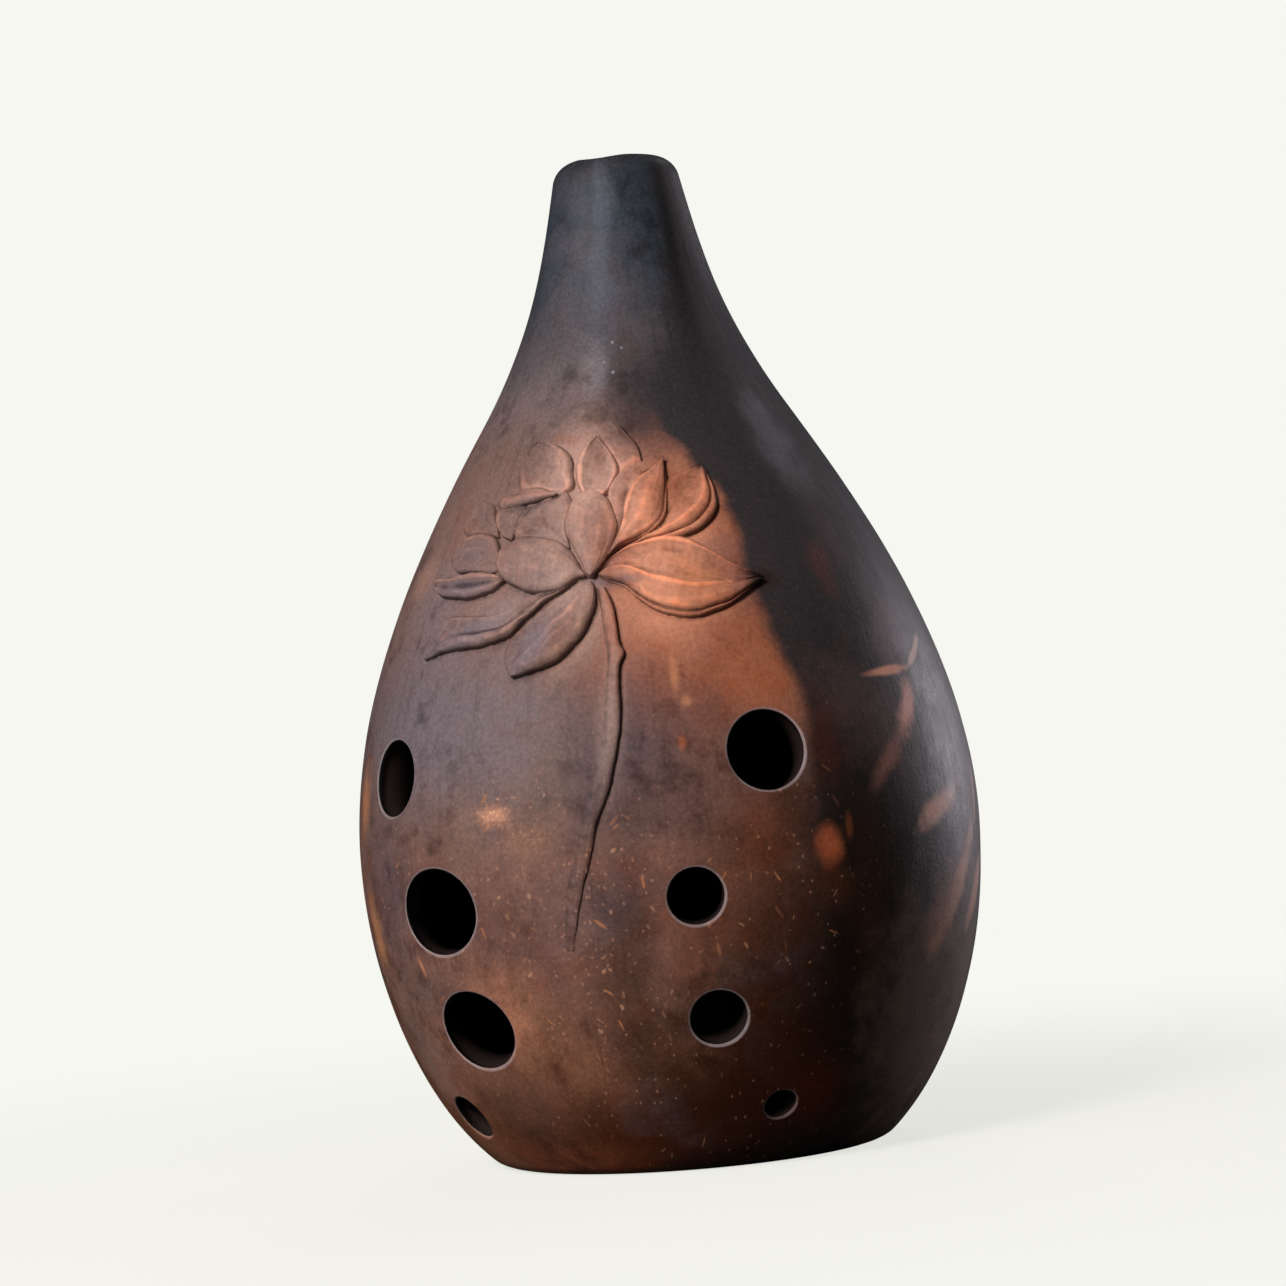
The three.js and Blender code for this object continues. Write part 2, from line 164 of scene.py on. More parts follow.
def softened(grid: np.ndarray, spread: int) -> np.ndarray:
    """Average each column of a grid over its neighbours.

    Args:
        grid: the values.
        spread: how many rows the average reaches.

    Returns:
        A grid of the same shape.
    """
    weights = np.exp(-(np.arange(-2 * spread, 2 * spread + 1) / spread) ** 2)
    weights /= weights.sum()
    padded = np.pad(grid, ((2 * spread, 2 * spread), (0, 0)), mode="edge")
    return sum(w * padded[k:k + len(grid)] for k, w in enumerate(weights))


def within(places: np.ndarray, ring: np.ndarray) -> np.ndarray:
    """Tell which places lie inside a closed outline.

    Args:
        places: an array of flat places.
        ring: the outline's points, in order.

    Returns:
        True for each place inside.
    """
    x, y = places[:, 0, None], places[:, 1, None]
    x0, y0 = ring[:, 0], ring[:, 1]
    x1, y1 = np.roll(x0, -1), np.roll(y0, -1)
    spans = (y0 > y) != (y1 > y)
    rise = np.where(y1 == y0, 1e-9, y1 - y0)
    crossed = spans & (x < x0 + (y - y0) * (x1 - x0) / rise)
    return crossed.sum(1) % 2 == 1


HAND_WAVES = ((0.4, 1, 0.3), (1.7, 0.71, 2.1), (2.9, 0.53, 4.4), (4.1, 0.37, 1.2))


def handmade(across: np.ndarray, up: np.ndarray, wave: float) -> np.ndarray:
    """A calm uneven field, such as a potter's thumb leaves.

    Args:
        across: places one way, in millimetres.
        up: places the other way.
        wave: length of the longest wave.

    Returns:
        Values from about -1 to 1.
    """
    total = np.zeros(np.broadcast(across, up).shape)
    for k, (turn, shrink, shift) in enumerate(HAND_WAVES):
        way = across * math.cos(turn) + up * math.sin(turn)
        total = total + np.sin(2 * math.pi * way / (wave * shrink) + shift) * 0.6 ** k
    return total / 2


def smooth_mesh(name: str, points: np.ndarray, faces: list[list[int]]) -> bpy.types.Mesh:
    """Make a smooth mesh.

    Args:
        name: its name.
        points: its points, in millimetres.
        faces: the numbers of each face's corners.

    Returns:
        The mesh, in metres.
    """
    mesh = bpy.data.meshes.new(name)
    mesh.from_pydata((points * METRE).tolist(), [], faces)
    mesh.polygons.foreach_set("use_smooth", [True] * len(faces))
    return mesh


def write_value(mesh: bpy.types.Mesh, name: str, values: np.ndarray) -> None:
    """Keep one number for each point of a mesh, under a name that a shader reads."""
    mesh.attributes.new(name, "FLOAT", "POINT").data.foreach_set("value", values.astype(np.float32))


@dataclass(frozen=True)
class Outline:
    """The turned outline of the body, from the flat of the foot up to the lip."""

    height: float = 155.0
    belly_radius: float = 48.4
    foot_radius: float = 30.0
    foot_round: float = 5.0
    neck_radius: float = 10.0
    lip_round: float = 4.0
    foot_lean: float = math.radians(50)
    waist_lean: float = math.radians(32)
    neck_lean: float = math.radians(12)
    belly_height_share: float = 0.315
    waist_height_share: float = 0.74
    waist_radius_share: float = 0.493
    pull_shares: tuple[float, ...] = (0.31, 0.41, 0.39, 0.29, 0.475, 0.315)
    round_pull: float = 0.55
    round_skip: int = 20
    steps: int = 600
    radius: np.ndarray = field(init=False)
    level: np.ndarray = field(init=False)
    arc: np.ndarray = field(init=False)
    out: np.ndarray = field(init=False)

    def __post_init__(self) -> None:
        """Draw the curves once and keep them as fine tables."""
        side = self._side()
        walked = np.concatenate([[0], np.cumsum(np.hypot(*np.diff(side, axis=0).T))])
        along = np.gradient(side, walked, axis=0)
        normal = np.stack([along[:, 1], -along[:, 0]], axis=1)
        normal /= np.hypot(*normal.T)[:, None]
        for name, value in (("radius", side[:, 0]), ("level", side[:, 1]), ("arc", walked), ("out", normal)):
            object.__setattr__(self, name, value)

    def _bend(self, start: np.ndarray, leave: np.ndarray, arrive: np.ndarray, end: np.ndarray) -> np.ndarray:
        """Draw a cubic curve.

        Args:
            start: its first point.
            leave: what to add to that for its handle.
            arrive: what to take from the last point for its handle.
            end: its last point.

        Returns:
            Places along it.
        """
        t = np.linspace(0, 1, self.steps)[:, None]
        b, c = start + leave, end - arrive
        return (1 - t) ** 3 * start + 3 * (1 - t) ** 2 * t * b + 3 * (1 - t) * t ** 2 * c + t ** 3 * end

    def _side(self) -> np.ndarray:
        """Draw the foot's rounding, lower body, upper body, neck and lip, one after another.

        Returns:
            Radius and height at places along them.
        """
        lower_foot, lower_belly, upper_belly, lower_waist, upper_waist, neck_pull = self.pull_shares
        belly = np.array([self.belly_radius, self.height * self.belly_height_share])
        waist = np.array([self.belly_radius * self.waist_radius_share, self.height * self.waist_height_share])
        lip_centre = np.array([self.neck_radius - self.lip_round, self.height - self.lip_round])
        neck = lip_centre + self.lip_round * np.array([math.cos(self.neck_lean), math.sin(self.neck_lean)])
        foot = np.array([self.foot_radius, 0.0])
        foot_way, upright, waist_way, neck_way = (
            np.array([math.sin(lean), math.cos(lean)])
            for lean in (self.foot_lean, 0.0, -self.waist_lean, -self.neck_lean))
        climb, throat = waist[1] - belly[1], neck[1] - waist[1]
        lower = self._bend(foot, foot_way * belly[1] * lower_foot, upright * belly[1] * lower_belly, belly)
        upper = self._bend(belly, upright * climb * upper_belly, waist_way * climb * lower_waist, waist)
        neck_run = self._bend(waist, waist_way * throat * upper_waist, neck_way * throat * neck_pull, neck)
        turn = np.linspace(self.neck_lean, math.pi / 2, self.steps)[1:, None]
        lip = lip_centre + self.lip_round * np.hstack([np.cos(turn), np.sin(turn)])
        cut = self.foot_round * math.tan((math.pi / 2 - self.foot_lean) / 2)
        start = np.searchsorted(np.hypot(*(lower - foot).T), cut)
        join, join_way = lower[start], lower[start + 1] - lower[start]
        join_way = join_way / np.hypot(*join_way)
        flat_end = foot - np.array([cut, 0.0])
        pull = cut * self.round_pull
        rounding = self._bend(flat_end, np.array([pull, 0.0]), join_way * pull, join)
        return np.vstack([rounding[:-1:self.round_skip], lower[start:], upper[1:], neck_run[1:], lip])

    def arc_at(self, level: float) -> float:
        """Length along the outline at a height."""
        return float(np.interp(level, self.level, self.arc))

    def radius_at(self, level: np.ndarray) -> np.ndarray:
        """Outer radius at a height."""
        return np.interp(level, self.level, self.radius)

    def normal_at(self, level: np.ndarray) -> Arrays:
        """Outward direction at a height, as its shares out and up."""
        return np.interp(level, self.level, self.out[:, 0]), np.interp(level, self.level, self.out[:, 1])

    def place(self, azimuth: np.ndarray, level: np.ndarray, lift: np.ndarray) -> np.ndarray:
        """Find places over the surface.

        Args:
            azimuth: angles round the body, in radians.
            level: heights on the surface under the places.
            lift: how far each place stands off the surface.

        Returns:
            The places in space.
        """
        out, rise = self.normal_at(level)
        reach = self.radius_at(level) + lift * out
        return np.stack([reach * np.sin(azimuth), -reach * np.cos(azimuth), level + lift * rise], axis=-1)


@dataclass(frozen=True)
class Stroke:
    """A line drawn on the relief: a ridge if its height is positive, else a groove."""

    points: str
    height: float
    left: float = 0.6
    right: float = 0.6
    fade: float = 0.25
    fade_out: float = 0.25

    def lift(self, places: np.ndarray) -> np.ndarray:
        """Find the height that the stroke adds.

        Args:
            places: flat places.

        Returns:
            The height at each.
        """
        line = curve_through(self.points, 40)
        total = np.zeros(len(places))
        reach = 3 * max(self.left, self.right)
        low, high = line.min(0) - reach, line.max(0) + reach
        near = np.flatnonzero(((places > low) & (places < high)).all(1))
        gap, side, along = nearest_on_line(places[near], line)
        away = np.hypot(*gap.T)
        width = np.where(side > 0, self.left, self.right)
        ends = smoothly(along, 0, self.fade) * smoothly(1 - along, 0, self.fade_out)
        total[near] = self.height * ends * np.exp(-(away / width) ** 2)
        return total


@dataclass(frozen=True)
class Petal:
    """One petal of the lotus, in millimetres across and up from the flower's heart.

    Its sides run from base to tip and are as seen from the base, looking at the
    tip. The profile gives heights from the left side at 0, over the ridge at 0.5,
    to the right side at 1, and the swell scales them from base to tip. Each of
    these is text, with pairs written as x,y.
    """

    node: str
    base: str
    tip: str
    left: str
    right: str
    profile: str
    ridge: str = "0,0.5 1,0.5"
    swell: str = "0,0.6 0.25,0.95 0.5,1 0.8,0.9 1,0.5"
    groove: float = 0.35
    groove_width: float = 0.8
    lit_share: float = 0.08
    neutral: float = 0.6
    strokes: tuple[Stroke, ...] = ()

    def sides(self, count: int) -> Arrays:
        """The left and the right side, each as count places."""
        return tuple(
            curve_through(f"{self.base} {side} {self.tip}", count) for side in (self.left, self.right))

    def ring(self) -> np.ndarray:
        """The closed outline."""
        left, right = self.sides(48)
        return np.vstack([left, right[-2:0:-1]])

    def own_height(self, along: np.ndarray, across: np.ndarray) -> np.ndarray:
        """Find the petal's own height over the ground.

        Args:
            along: shares from base to tip.
            across: shares from the left side to the right.

        Returns:
            The height at each pair of shares.
        """
        ridge = eased(along, self.ridge)
        warped = np.where(across < ridge, 0.5 * across / ridge, 1 - 0.5 * (1 - across) / (1 - ridge))
        return eased(warped, self.profile) * eased(along, self.swell)

    def carve(self, places: np.ndarray) -> Arrays:
        """Find what this petal does to the clay behind it.

        Args:
            places: flat places on the clay behind.

        Returns:
            How deep the clay is cut beside the petal, and how deep it is sunk under it.
        """
        ring = self.ring()
        beside, under = np.zeros(len(places)), np.zeros(len(places))
        reach = 3 * self.groove_width
        near = np.flatnonzero(((places > ring.min(0) - reach) & (places < ring.max(0) + reach)).all(1))
        gap, _, _ = nearest_on_line(places[near], np.vstack([ring, ring[:1]]))
        away = np.hypot(*gap.T)
        inside = within(places[near], ring)
        facing = gap @ SHADED_WAY / np.maximum(away, 1e-6)
        depth = self.groove * (self.lit_share + (1 - self.lit_share) * smoothly(facing, -0.3, 0.85))
        beside[near] = np.where(inside, 0.5 * self.groove, depth * np.exp(-(away / self.groove_width) ** 2))
        under[near] = np.where(inside, 1.1 * smoothly(away, 0, 0.9), 0)
        return beside, under


class Skin(Enum):
    """What a face of the vessel is part of."""

    OUTSIDE = 0
    INSIDE = 1
    JOINT = 2


class ClayMesh:
    """Points and faces that are gathered before they become Blender meshes."""

    def __init__(self) -> None:
        """Start empty."""
        self.runs: list[np.ndarray] = []
        self.depth_runs: list[np.ndarray] = []
        self.count = 0
        self.faces: list[tuple[str, Skin, np.ndarray]] = []

    def add_points(self, points: np.ndarray, depth: float | np.ndarray = 0.0) -> np.ndarray:
        """Keep points and how far down a hole they lie.

        Args:
            points: the points, in any grid.
            depth: 0 outside, 1 where a hole's soft edge ends and 2 at its inner end. On a soft edge it is
                stretched towards the upper left, to paint shade there.

        Returns:
            The points' numbers, in the same grid.
        """
        flat = points.reshape(-1, 3)
        self.depth_runs.append(np.broadcast_to(depth, points.shape[:-1]).reshape(-1))
        numbers = np.arange(self.count, self.count + len(flat)).reshape(points.shape[:-1])
        self.runs.append(flat)
        self.count += len(flat)
        return numbers

    def add_faces(self, piece: str, skin: Skin, *corners: np.ndarray) -> None:
        """Keep faces given by the numbers of their corners, one array for each corner."""
        rows = np.stack([c.reshape(-1) for c in np.broadcast_arrays(*corners)], axis=1)
        self.faces.append((piece, skin, rows))

    def points(self) -> np.ndarray:
        """All points so far."""
        return np.vstack(self.runs)

    def smooth_normals(self, points: np.ndarray) -> np.ndarray:
        """Find the normals of the whole body, as if it had no joints.

        Args:
            points: all points.

        Returns:
            The normal at each.
        """
        total = np.zeros_like(points)
        for _, skin, faces in self.faces:
            if skin is not Skin.JOINT:
                a, b, c, d = (points[faces[:, k]] for k in (0, 1, 2, -1))
                normal = np.cross(c - a, d - b)
                for corners in faces.T:
                    np.add.at(total, corners, normal)
        return total / np.maximum(np.linalg.norm(total, axis=1), 1e-12)[:, None]

    def piece_mesh(self, piece: str, points: np.ndarray, normals: np.ndarray,
                   tone: np.ndarray) -> bpy.types.Mesh:
        """Make one piece's Blender mesh.

        Args:
            piece: which piece's faces to take.
            points: all points, in millimetres.
            normals: the body's normal at each point.
            tone: painted light and shade of the relief at each point.

        Returns:
            The mesh, in metres, shaded with the body's own normals.
        """
        faces, skins = [], []
        for owner, skin, quads in self.faces:
            if owner == piece:
                faces.extend(quads.tolist())
                skins.extend([skin] * len(quads))
        used = np.unique(np.concatenate([np.array(f) for f in faces]))
        renumber = np.zeros(len(points), int)
        renumber[used] = np.arange(len(used))
        mesh = smooth_mesh(piece, points[used], [renumber[f].tolist() for f in faces])
        mesh.polygons.foreach_set("material_index", [int(s is not Skin.OUTSIDE) for s in skins])
        corner_normals = []
        for face, skin in zip(faces, skins):
            if skin is Skin.JOINT:
                a, b, c = (points[face[k]] for k in (0, 1, 2))
                flat = np.cross(b - a, c - a)
                flat = flat / max(np.linalg.norm(flat), 1e-12)
                corner_normals.extend([flat] * len(face))
            else:
                corner_normals.extend(normals[face])
        mesh.normals_split_custom_set(np.array(corner_normals).tolist())
        write_value(mesh, RELIEF_SHADING, tone[used])
        write_value(mesh, DEPTH, np.concatenate(self.depth_runs)[used])
        mesh.update()
        return mesh


@dataclass(frozen=True)
class Hole:
    """A round hole through the wall, with a softened edge.

    The heading is the angle that its bore comes from, in degrees round the body.
    Without one the bore runs straight in. The margins widen the patch of surface
    that is rebuilt round the hole.
    """

    azimuth: float
    level: float
    diameter: float
    soften: float = 0.6
    piece: str = "front_shell"
    heading: float | None = None
    margin: float = 0.7
    slant_margin: float = 1.5

    def slant(self) -> float:
        """How far the bore slides sideways for each millimetre outwards."""
        return 0.0 if self.heading is None else math.tan(math.radians(self.heading - self.azimuth))

    def stretch(self) -> float:
        """How much wider than high the hole is on the surface."""
        return math.hypot(1.0, self.slant())

    def half_rise(self) -> float:
        """Half the height of the patch."""
        return self.diameter / 2 + self.soften + self.margin

    def half_width(self) -> float:
        """Half the width of the patch."""
        rim = (self.diameter / 2 + self.soften) * self.stretch()
        return rim + self.margin + self.slant_margin * abs(self.slant())

    def centre(self, outline: Outline, lift: float = 0.0) -> np.ndarray:
        """The middle of the hole on the body's surface, or that far over it."""
        return outline.place(
            np.array([math.radians(self.azimuth)]), np.array([self.level]), np.array([lift]))[0]

    def axes(self, outline: Outline) -> tuple[np.ndarray, np.ndarray, np.ndarray]:
        """Find the directions of the surface at the hole.

        Args:
            outline: the body's outline.

        Returns:
            The ways outwards, to the right and up, each of length one.
        """
        turn = math.radians(self.azimuth)
        outward = self.centre(outline, 1.0) - self.centre(outline)
        outward = outward / np.linalg.norm(outward)
        rightward = np.array([math.cos(turn), math.sin(turn), 0.0])
        return outward, rightward, np.cross(outward, rightward)


HOLES = (
    Hole(-38.9, 61.5, 11.3), Hole(38.9, 61.5, 11.6),
    Hole(-26.6, 41.3, 12.7, heading=8.0), Hole(24.0, 41.3, 8.1),
    Hole(-23.4, 23.3, 12.2, heading=5.0), Hole(26.8, 23.3, 8.2),
    Hole(-40.4, 9.3, 7.6, soften=0.5), Hole(40.4, 9.3, 4.8, soften=0.5),
    Hole(152.0, 64.0, 10.5, piece="back_shell"), Hole(-152.0, 64.0, 10.5, piece="back_shell"),
)


@dataclass(frozen=True)
class Patch:
    """The columns i and rows j of cells that a hole replaces, and how far its inner end lies aside."""

    hole: Hole
    i0: int
    i1: int
    j0: int
    j1: int
    aside: int

    def loop(self) -> tuple[np.ndarray, np.ndarray]:
        """Walk once round the patch.

        Returns:
            The columns and the rows of the grid's points on the way.
        """
        wide, high = self.i1 - self.i0, self.j1 - self.j0
        i = [*range(self.i0, self.i1), *[self.i1] * high, *range(self.i1, self.i0, -1), *[self.i0] * high]
        j = [*[self.j0] * wide, *range(self.j0, self.j1), *[self.j1] * wide, *range(self.j1, self.j0, -1)]
        return np.array(i), np.array(j)


@dataclass
class Vessel:
    """The hollow body: foot disc, front and back shell, and mouth ring.

    The meridians are spans of degrees with their step, and the parallels are
    heights with the step above them. Both are closer together at the lotus.
    """

    outline: Outline
    lotus: "Lotus"
    holes: tuple[Hole, ...] = HOLES
    wall: float = 5.0
    base_thickness: float = 4.0
    floor_corner: float = 1.5
    mouth_floor: float = 148.0
    blow_radius: float = 4.5
    edge_depth: float = 2.2
    edge_tilt: float = math.radians(42)
    edge_soften: float = 0.4
    edge_blend: float = 0.18
    unevenness: float = 0.16
    long_wave: float = 46.0
    short_wave: float = 17.0
    calm_foot: Point = (6.0, 16.0)
    calm_neck: Point = (128.0, 142.0)
    calm_hole: Point = (1.5, 8.0)
    meridians: tuple[tuple[float, float, float], ...] = (
        (-180, -90, 2.5), (-90, -50, 1.25), (-50, 54, 0.5), (54, 90, 1.2), (90, 180, 2.5),
    )
    parallels: Stops = ((0, 0.7), (4, 1.1), (34, 0.9), (64, 0.42), (114, 1.2), (148, 0.6), (151, 0.28))
    foot_parallel: int = 1
    mouth_parallel: int = 5
    near: float = 0.01

    def __post_init__(self) -> None:
        """Lay out both skins and the patches that the holes replace."""
        self.mesh = ClayMesh()
        self.degrees = np.concatenate([
            np.linspace(a, b, round((b - a) / step), endpoint=False) for a, b, step in self.meridians])
        self.turns = np.radians(self.degrees)
        self.front = (self.degrees >= -90 - TINY) & (self.degrees < 90 - TINY)
        outline = self.outline
        ends = ([outline.arc_at(level) if level else 0.0 for level, _ in self.parallels]
                + [float(outline.arc[-1])])
        runs = [np.linspace(a, b, max(2, round((b - a) / step)), endpoint=False)
                for a, b, (_, step) in zip(ends, ends[1:], self.parallels)]
        self.low, self.high = (
            sum(len(run) for run in runs[:k]) for k in (self.foot_parallel, self.mouth_parallel))
        arcs = np.concatenate([*runs, ends[-1:]])
        level, radius, out, rise = (
            np.interp(arcs, outline.arc, run) for run in (outline.level, outline.radius, *outline.out.T))
        self.outer = self._add_rings(radius, level)
        side = np.stack([radius - self.wall * out, level - self.wall * rise], axis=1)[self.low:self.high + 1]
        corner = np.linspace((side[0, 0] - self.floor_corner, self.base_thickness), side[0], 4)[:-1]
        keep = side[:, 1] < self.mouth_floor - 0.3
        self.inner_side = np.vstack([corner, side[keep], [[side[-1, 0], self.mouth_floor]]])
        self.inner = self._add_rings(*self.inner_side.T)
        self.shift = len(corner) - self.low
        self.patches = [self._patch(hole, arcs) for hole in self.holes]

    def build(self) -> tuple[np.ndarray, np.ndarray]:
        """Make the body's points and faces.

        Returns:
            The points and the relief tone at each.
        """
        self._add_walls()
        self._add_joints()
        self._close_disc(Skin.OUTSIDE, self.outer[0], 0.0, float(self.outline.radius[0]))
        self._close_disc(Skin.INSIDE, self.inner[0], self.base_thickness, float(self.inner_side[0, 0]))
        self._add_mouth()
        for patch in self.patches:
            self._add_hole(patch)
        return self._finish_points()

    def _add_rings(self, radius: np.ndarray, level: np.ndarray,
                   depth: float | np.ndarray = 0.0) -> np.ndarray:
        """Add turned rings of points, and return their numbers in one row for each ring."""
        rings = [np.outer(radius, np.sin(self.turns)), np.outer(radius, -np.cos(self.turns)), level[:, None]]
        return self.mesh.add_points(np.stack(np.broadcast_arrays(*rings), axis=-1), depth)

    def _patch(self, hole: Hole, arcs: np.ndarray) -> Patch:
        """Choose the patch of mesh cells that a hole replaces.

        Args:
            hole: the hole.
            arcs: lengths along the outline at the grid's rows.

        Returns:
            The patch.
        """
        radius = float(self.outline.radius_at(hole.level))
        spread = math.degrees(hole.half_width() / radius)
        middle, half = self.outline.arc_at(hole.level), hole.half_rise()
        i0 = int(np.searchsorted(self.degrees, hole.azimuth - spread, side="right")) - 1
        i1 = int(np.searchsorted(self.degrees, hole.azimuth + spread))
        j0 = int(np.searchsorted(arcs, middle - half, side="right")) - 1
        j1 = int(np.searchsorted(arcs, middle + half))
        slid = math.degrees(1.2 * hole.slant() * self.wall / (radius - self.wall))
        aside = -round(slid * (i1 - i0) / (self.degrees[i1] - self.degrees[i0]))
        return Patch(hole, i0, i1, j0, j1, aside)

    def _add_walls(self) -> None:
        """Outer and inner skins, left open where the holes go."""
        open_outside, open_inside = (
            np.zeros((len(skin) - 1, skin.shape[1]), bool) for skin in (self.outer, self.inner))
        for p in self.patches:
            open_outside[p.j0:p.j1, p.i0:p.i1] = True
            open_inside[p.j0 + self.shift:p.j1 + self.shift, p.i0 + p.aside:p.i1 + p.aside] = True
        row = np.arange(len(open_outside))[:, None]
        shell = (row >= self.low) & (row < self.high)
        for piece, keep in (("base_disc", row < self.low), ("mouth_ring", row >= self.high),
                            ("front_shell", shell & self.front), ("back_shell", shell & ~self.front)):
            self._add_skin(piece, Skin.OUTSIDE, self.outer, keep & ~open_outside)
        for piece, keep in (("front_shell", self.front), ("back_shell", ~self.front)):
            self._add_skin(piece, Skin.INSIDE, self.inner, keep & ~open_inside)

    def _add_skin(self, piece: str, skin: Skin, grid: np.ndarray, keep: np.ndarray) -> None:
        """Add the faces of some cells of a skin.

        Args:
            piece: what they belong to.
            skin: which way they face.
            grid: numbers of the skin's points.
            keep: which cells are taken.
        """
        j, i = np.nonzero(keep)
        n = (i + 1) % grid.shape[1]
        if skin is Skin.INSIDE:
            i, n = n, i
        self.mesh.add_faces(piece, skin, grid[j, i], grid[j, n], grid[j + 1, n], grid[j + 1, i])

    def _add_joints(self) -> None:
        """The faces where the shells, the foot disc and the mouth ring were luted together."""
        add, low, high = self.mesh.add_faces, self.outer[self.low], self.outer[self.high]
        for piece, keep in (("front_shell", self.front), ("back_shell", ~self.front)):
            i = np.flatnonzero(keep)
            n = (i + 1) % len(low)
            add(piece, Skin.JOINT, low[n], low[i], self.inner[0, i], self.inner[0, n])
            add(piece, Skin.JOINT, high[i], high[n], self.inner[-1, n], self.inner[-1, i])
        add("base_disc", Skin.JOINT, low, np.roll(low, -1), np.roll(self.inner[0], -1), self.inner[0])
        for seam, first, second in ((90, "front_shell", "back_shell"), (-90, "back_shell", "front_shell")):
            column = int(np.argmin(np.abs(self.degrees - seam)))
            for strip in self._strip(self.outer[self.low:self.high + 1, column], self.inner[:, column]):
                add(first, Skin.JOINT, *strip)
                add(second, Skin.JOINT, *strip[::-1])

    def _strip(self, outside: np.ndarray, inside: np.ndarray) -> list[list[np.ndarray]]:
        """Join the two skins along one meridian.

        Args:
            outside: numbers of the outer skin's points, from the foot up.
            inside: numbers of the inner skin's points.

        Returns:
            The corners of each face.
        """
        first = self.low + self.shift
        faces = [[inside[m], inside[m + 1], outside[0]] for m in range(first)]
        matched = min(len(inside) - first, len(outside)) - 1
        faces += [[inside[first + m], inside[first + m + 1], outside[m + 1], outside[m]]
                  for m in range(matched)]
        faces += [[inside[m], inside[m + 1], outside[-1]] for m in range(first + matched, len(inside) - 1)]
        faces += [[inside[-1], outside[m + 1], outside[m]] for m in range(matched, len(outside) - 1)]
        return [[np.array([v]) for v in face] for face in faces]

    def _close_disc(self, skin: Skin, ring: np.ndarray, level: float, radius: float) -> None:
        """Close a ring of the foot disc.

        Args:
            skin: the inside's disc faces up, and the outside's faces down.
            ring: numbers of the ring's points.
            level: its height.
            radius: its radius.
        """
        steps = np.linspace(radius, 0, 9)[1:-1]
        rows = np.vstack([ring[None], self._add_rings(steps, np.full(len(steps), level))])
        middle = self.mesh.add_points(np.array([[0.0, 0.0, level]]))[0]
        a, b = rows, np.roll(rows, -1, axis=1)
        if skin is Skin.OUTSIDE:
            a, b = b, a
        self.mesh.add_faces("base_disc", skin, a[:-1], b[:-1], b[1:], a[1:])
        self.mesh.add_faces("base_disc", skin, a[-1], b[-1], np.full(len(ring), middle))

    def _add_mouth(self) -> None:
        """The flat of the lip, the blow hole and the ring's underside."""
        top, soften = self.outline.height, self.edge_soften
        flat = np.linspace(self.outline.radius[-1], self.blow_radius + soften, 5)[1:]
        bend = np.radians(np.linspace(0, 90, 6)[1:])
        bore = np.linspace(top - soften, self.mouth_floor, 9)[1:]
        rounded = self.blow_radius + soften * (1 - np.sin(bend))
        radius = np.concatenate([flat, rounded, np.full(len(bore), self.blow_radius)])
        level = np.concatenate([np.full(len(flat), top), top - soften * (1 - np.cos(bend)), bore])
        depth = np.concatenate(
            [np.zeros(len(flat)), np.linspace(0.2, 1, len(bend)), np.linspace(1.1, 2, len(bore))])
        rows = np.vstack([self.outer[-1:], self._add_rings(radius, level, depth[:, None])])
        n = np.roll(rows, -1, axis=1)
        self.mesh.add_faces("mouth_ring", Skin.OUTSIDE, rows[:-1], n[:-1], n[1:], rows[1:])
        under = self.outer[self.high]
        self.mesh.add_faces("mouth_ring", Skin.JOINT, np.roll(under, -1), under, rows[-1], n[-1])

    def _drop(self, start: np.ndarray, inwards: np.ndarray, side_radius: np.ndarray,
              side_level: np.ndarray) -> np.ndarray:
        """Move points along one direction until they meet a turned surface.

        Args:
            start: the points.
            inwards: the direction.
            side_radius: the radius of the surface's side, from the foot up.
            side_level: its heights.

        Returns:
            The moved points.
        """
        travel = np.zeros(len(start))

        def miss(t: np.ndarray) -> np.ndarray:
            """How far outside the surface the moved points are."""
            moved = start + t[:, None] * inwards
            return np.hypot(moved[:, 0], moved[:, 1]) - np.interp(moved[:, 2], side_level, side_radius)

        for _ in range(12):
            now = miss(travel)
            slope = (miss(travel + self.near) - now) / self.near
            travel = travel - now / np.where(np.abs(slope) < 0.2, -1.0, slope)
        return start + travel[:, None] * inwards

    def _add_hole(self, patch: Patch) -> None:
        """Rings of the surface round a hole, its soft edge, its bore and its inner end.

        Args:
            patch: the hole and the cells that it replaces.
        """
        hole, mesh = patch.hole, self.mesh
        i, j = patch.loop()
        outer_loop = self.outer[j, i % len(self.turns)]
        inner_loop = self.inner[j + self.shift, (i + patch.aside) % len(self.turns)]
        points, centre = mesh.points(), hole.centre(self.outline)
        outward, rightward, upward = hole.axes(self.outline)
        inward = -outward - rightward * hole.slant()
        rightward = rightward * hole.stretch()
        edge = points[outer_loop] - centre
        right, up = edge @ (rightward / hole.stretch() ** 2), edge @ upward
        angle, reach = np.unwrap(np.arctan2(up, right)), np.hypot(right, up)
        radius = hole.diameter / 2
        outer_side, inner_side = (self.outline.radius, self.outline.level), self.inner_side.T

        def spoke(distance: np.ndarray) -> np.ndarray:
            """Places on the surface at a distance from the hole's axis."""
            spread = (np.outer(distance * np.cos(angle), rightward)
                      + np.outer(distance * np.sin(angle), upward))
            return self._drop(centre + spread, -outward, *outer_side)
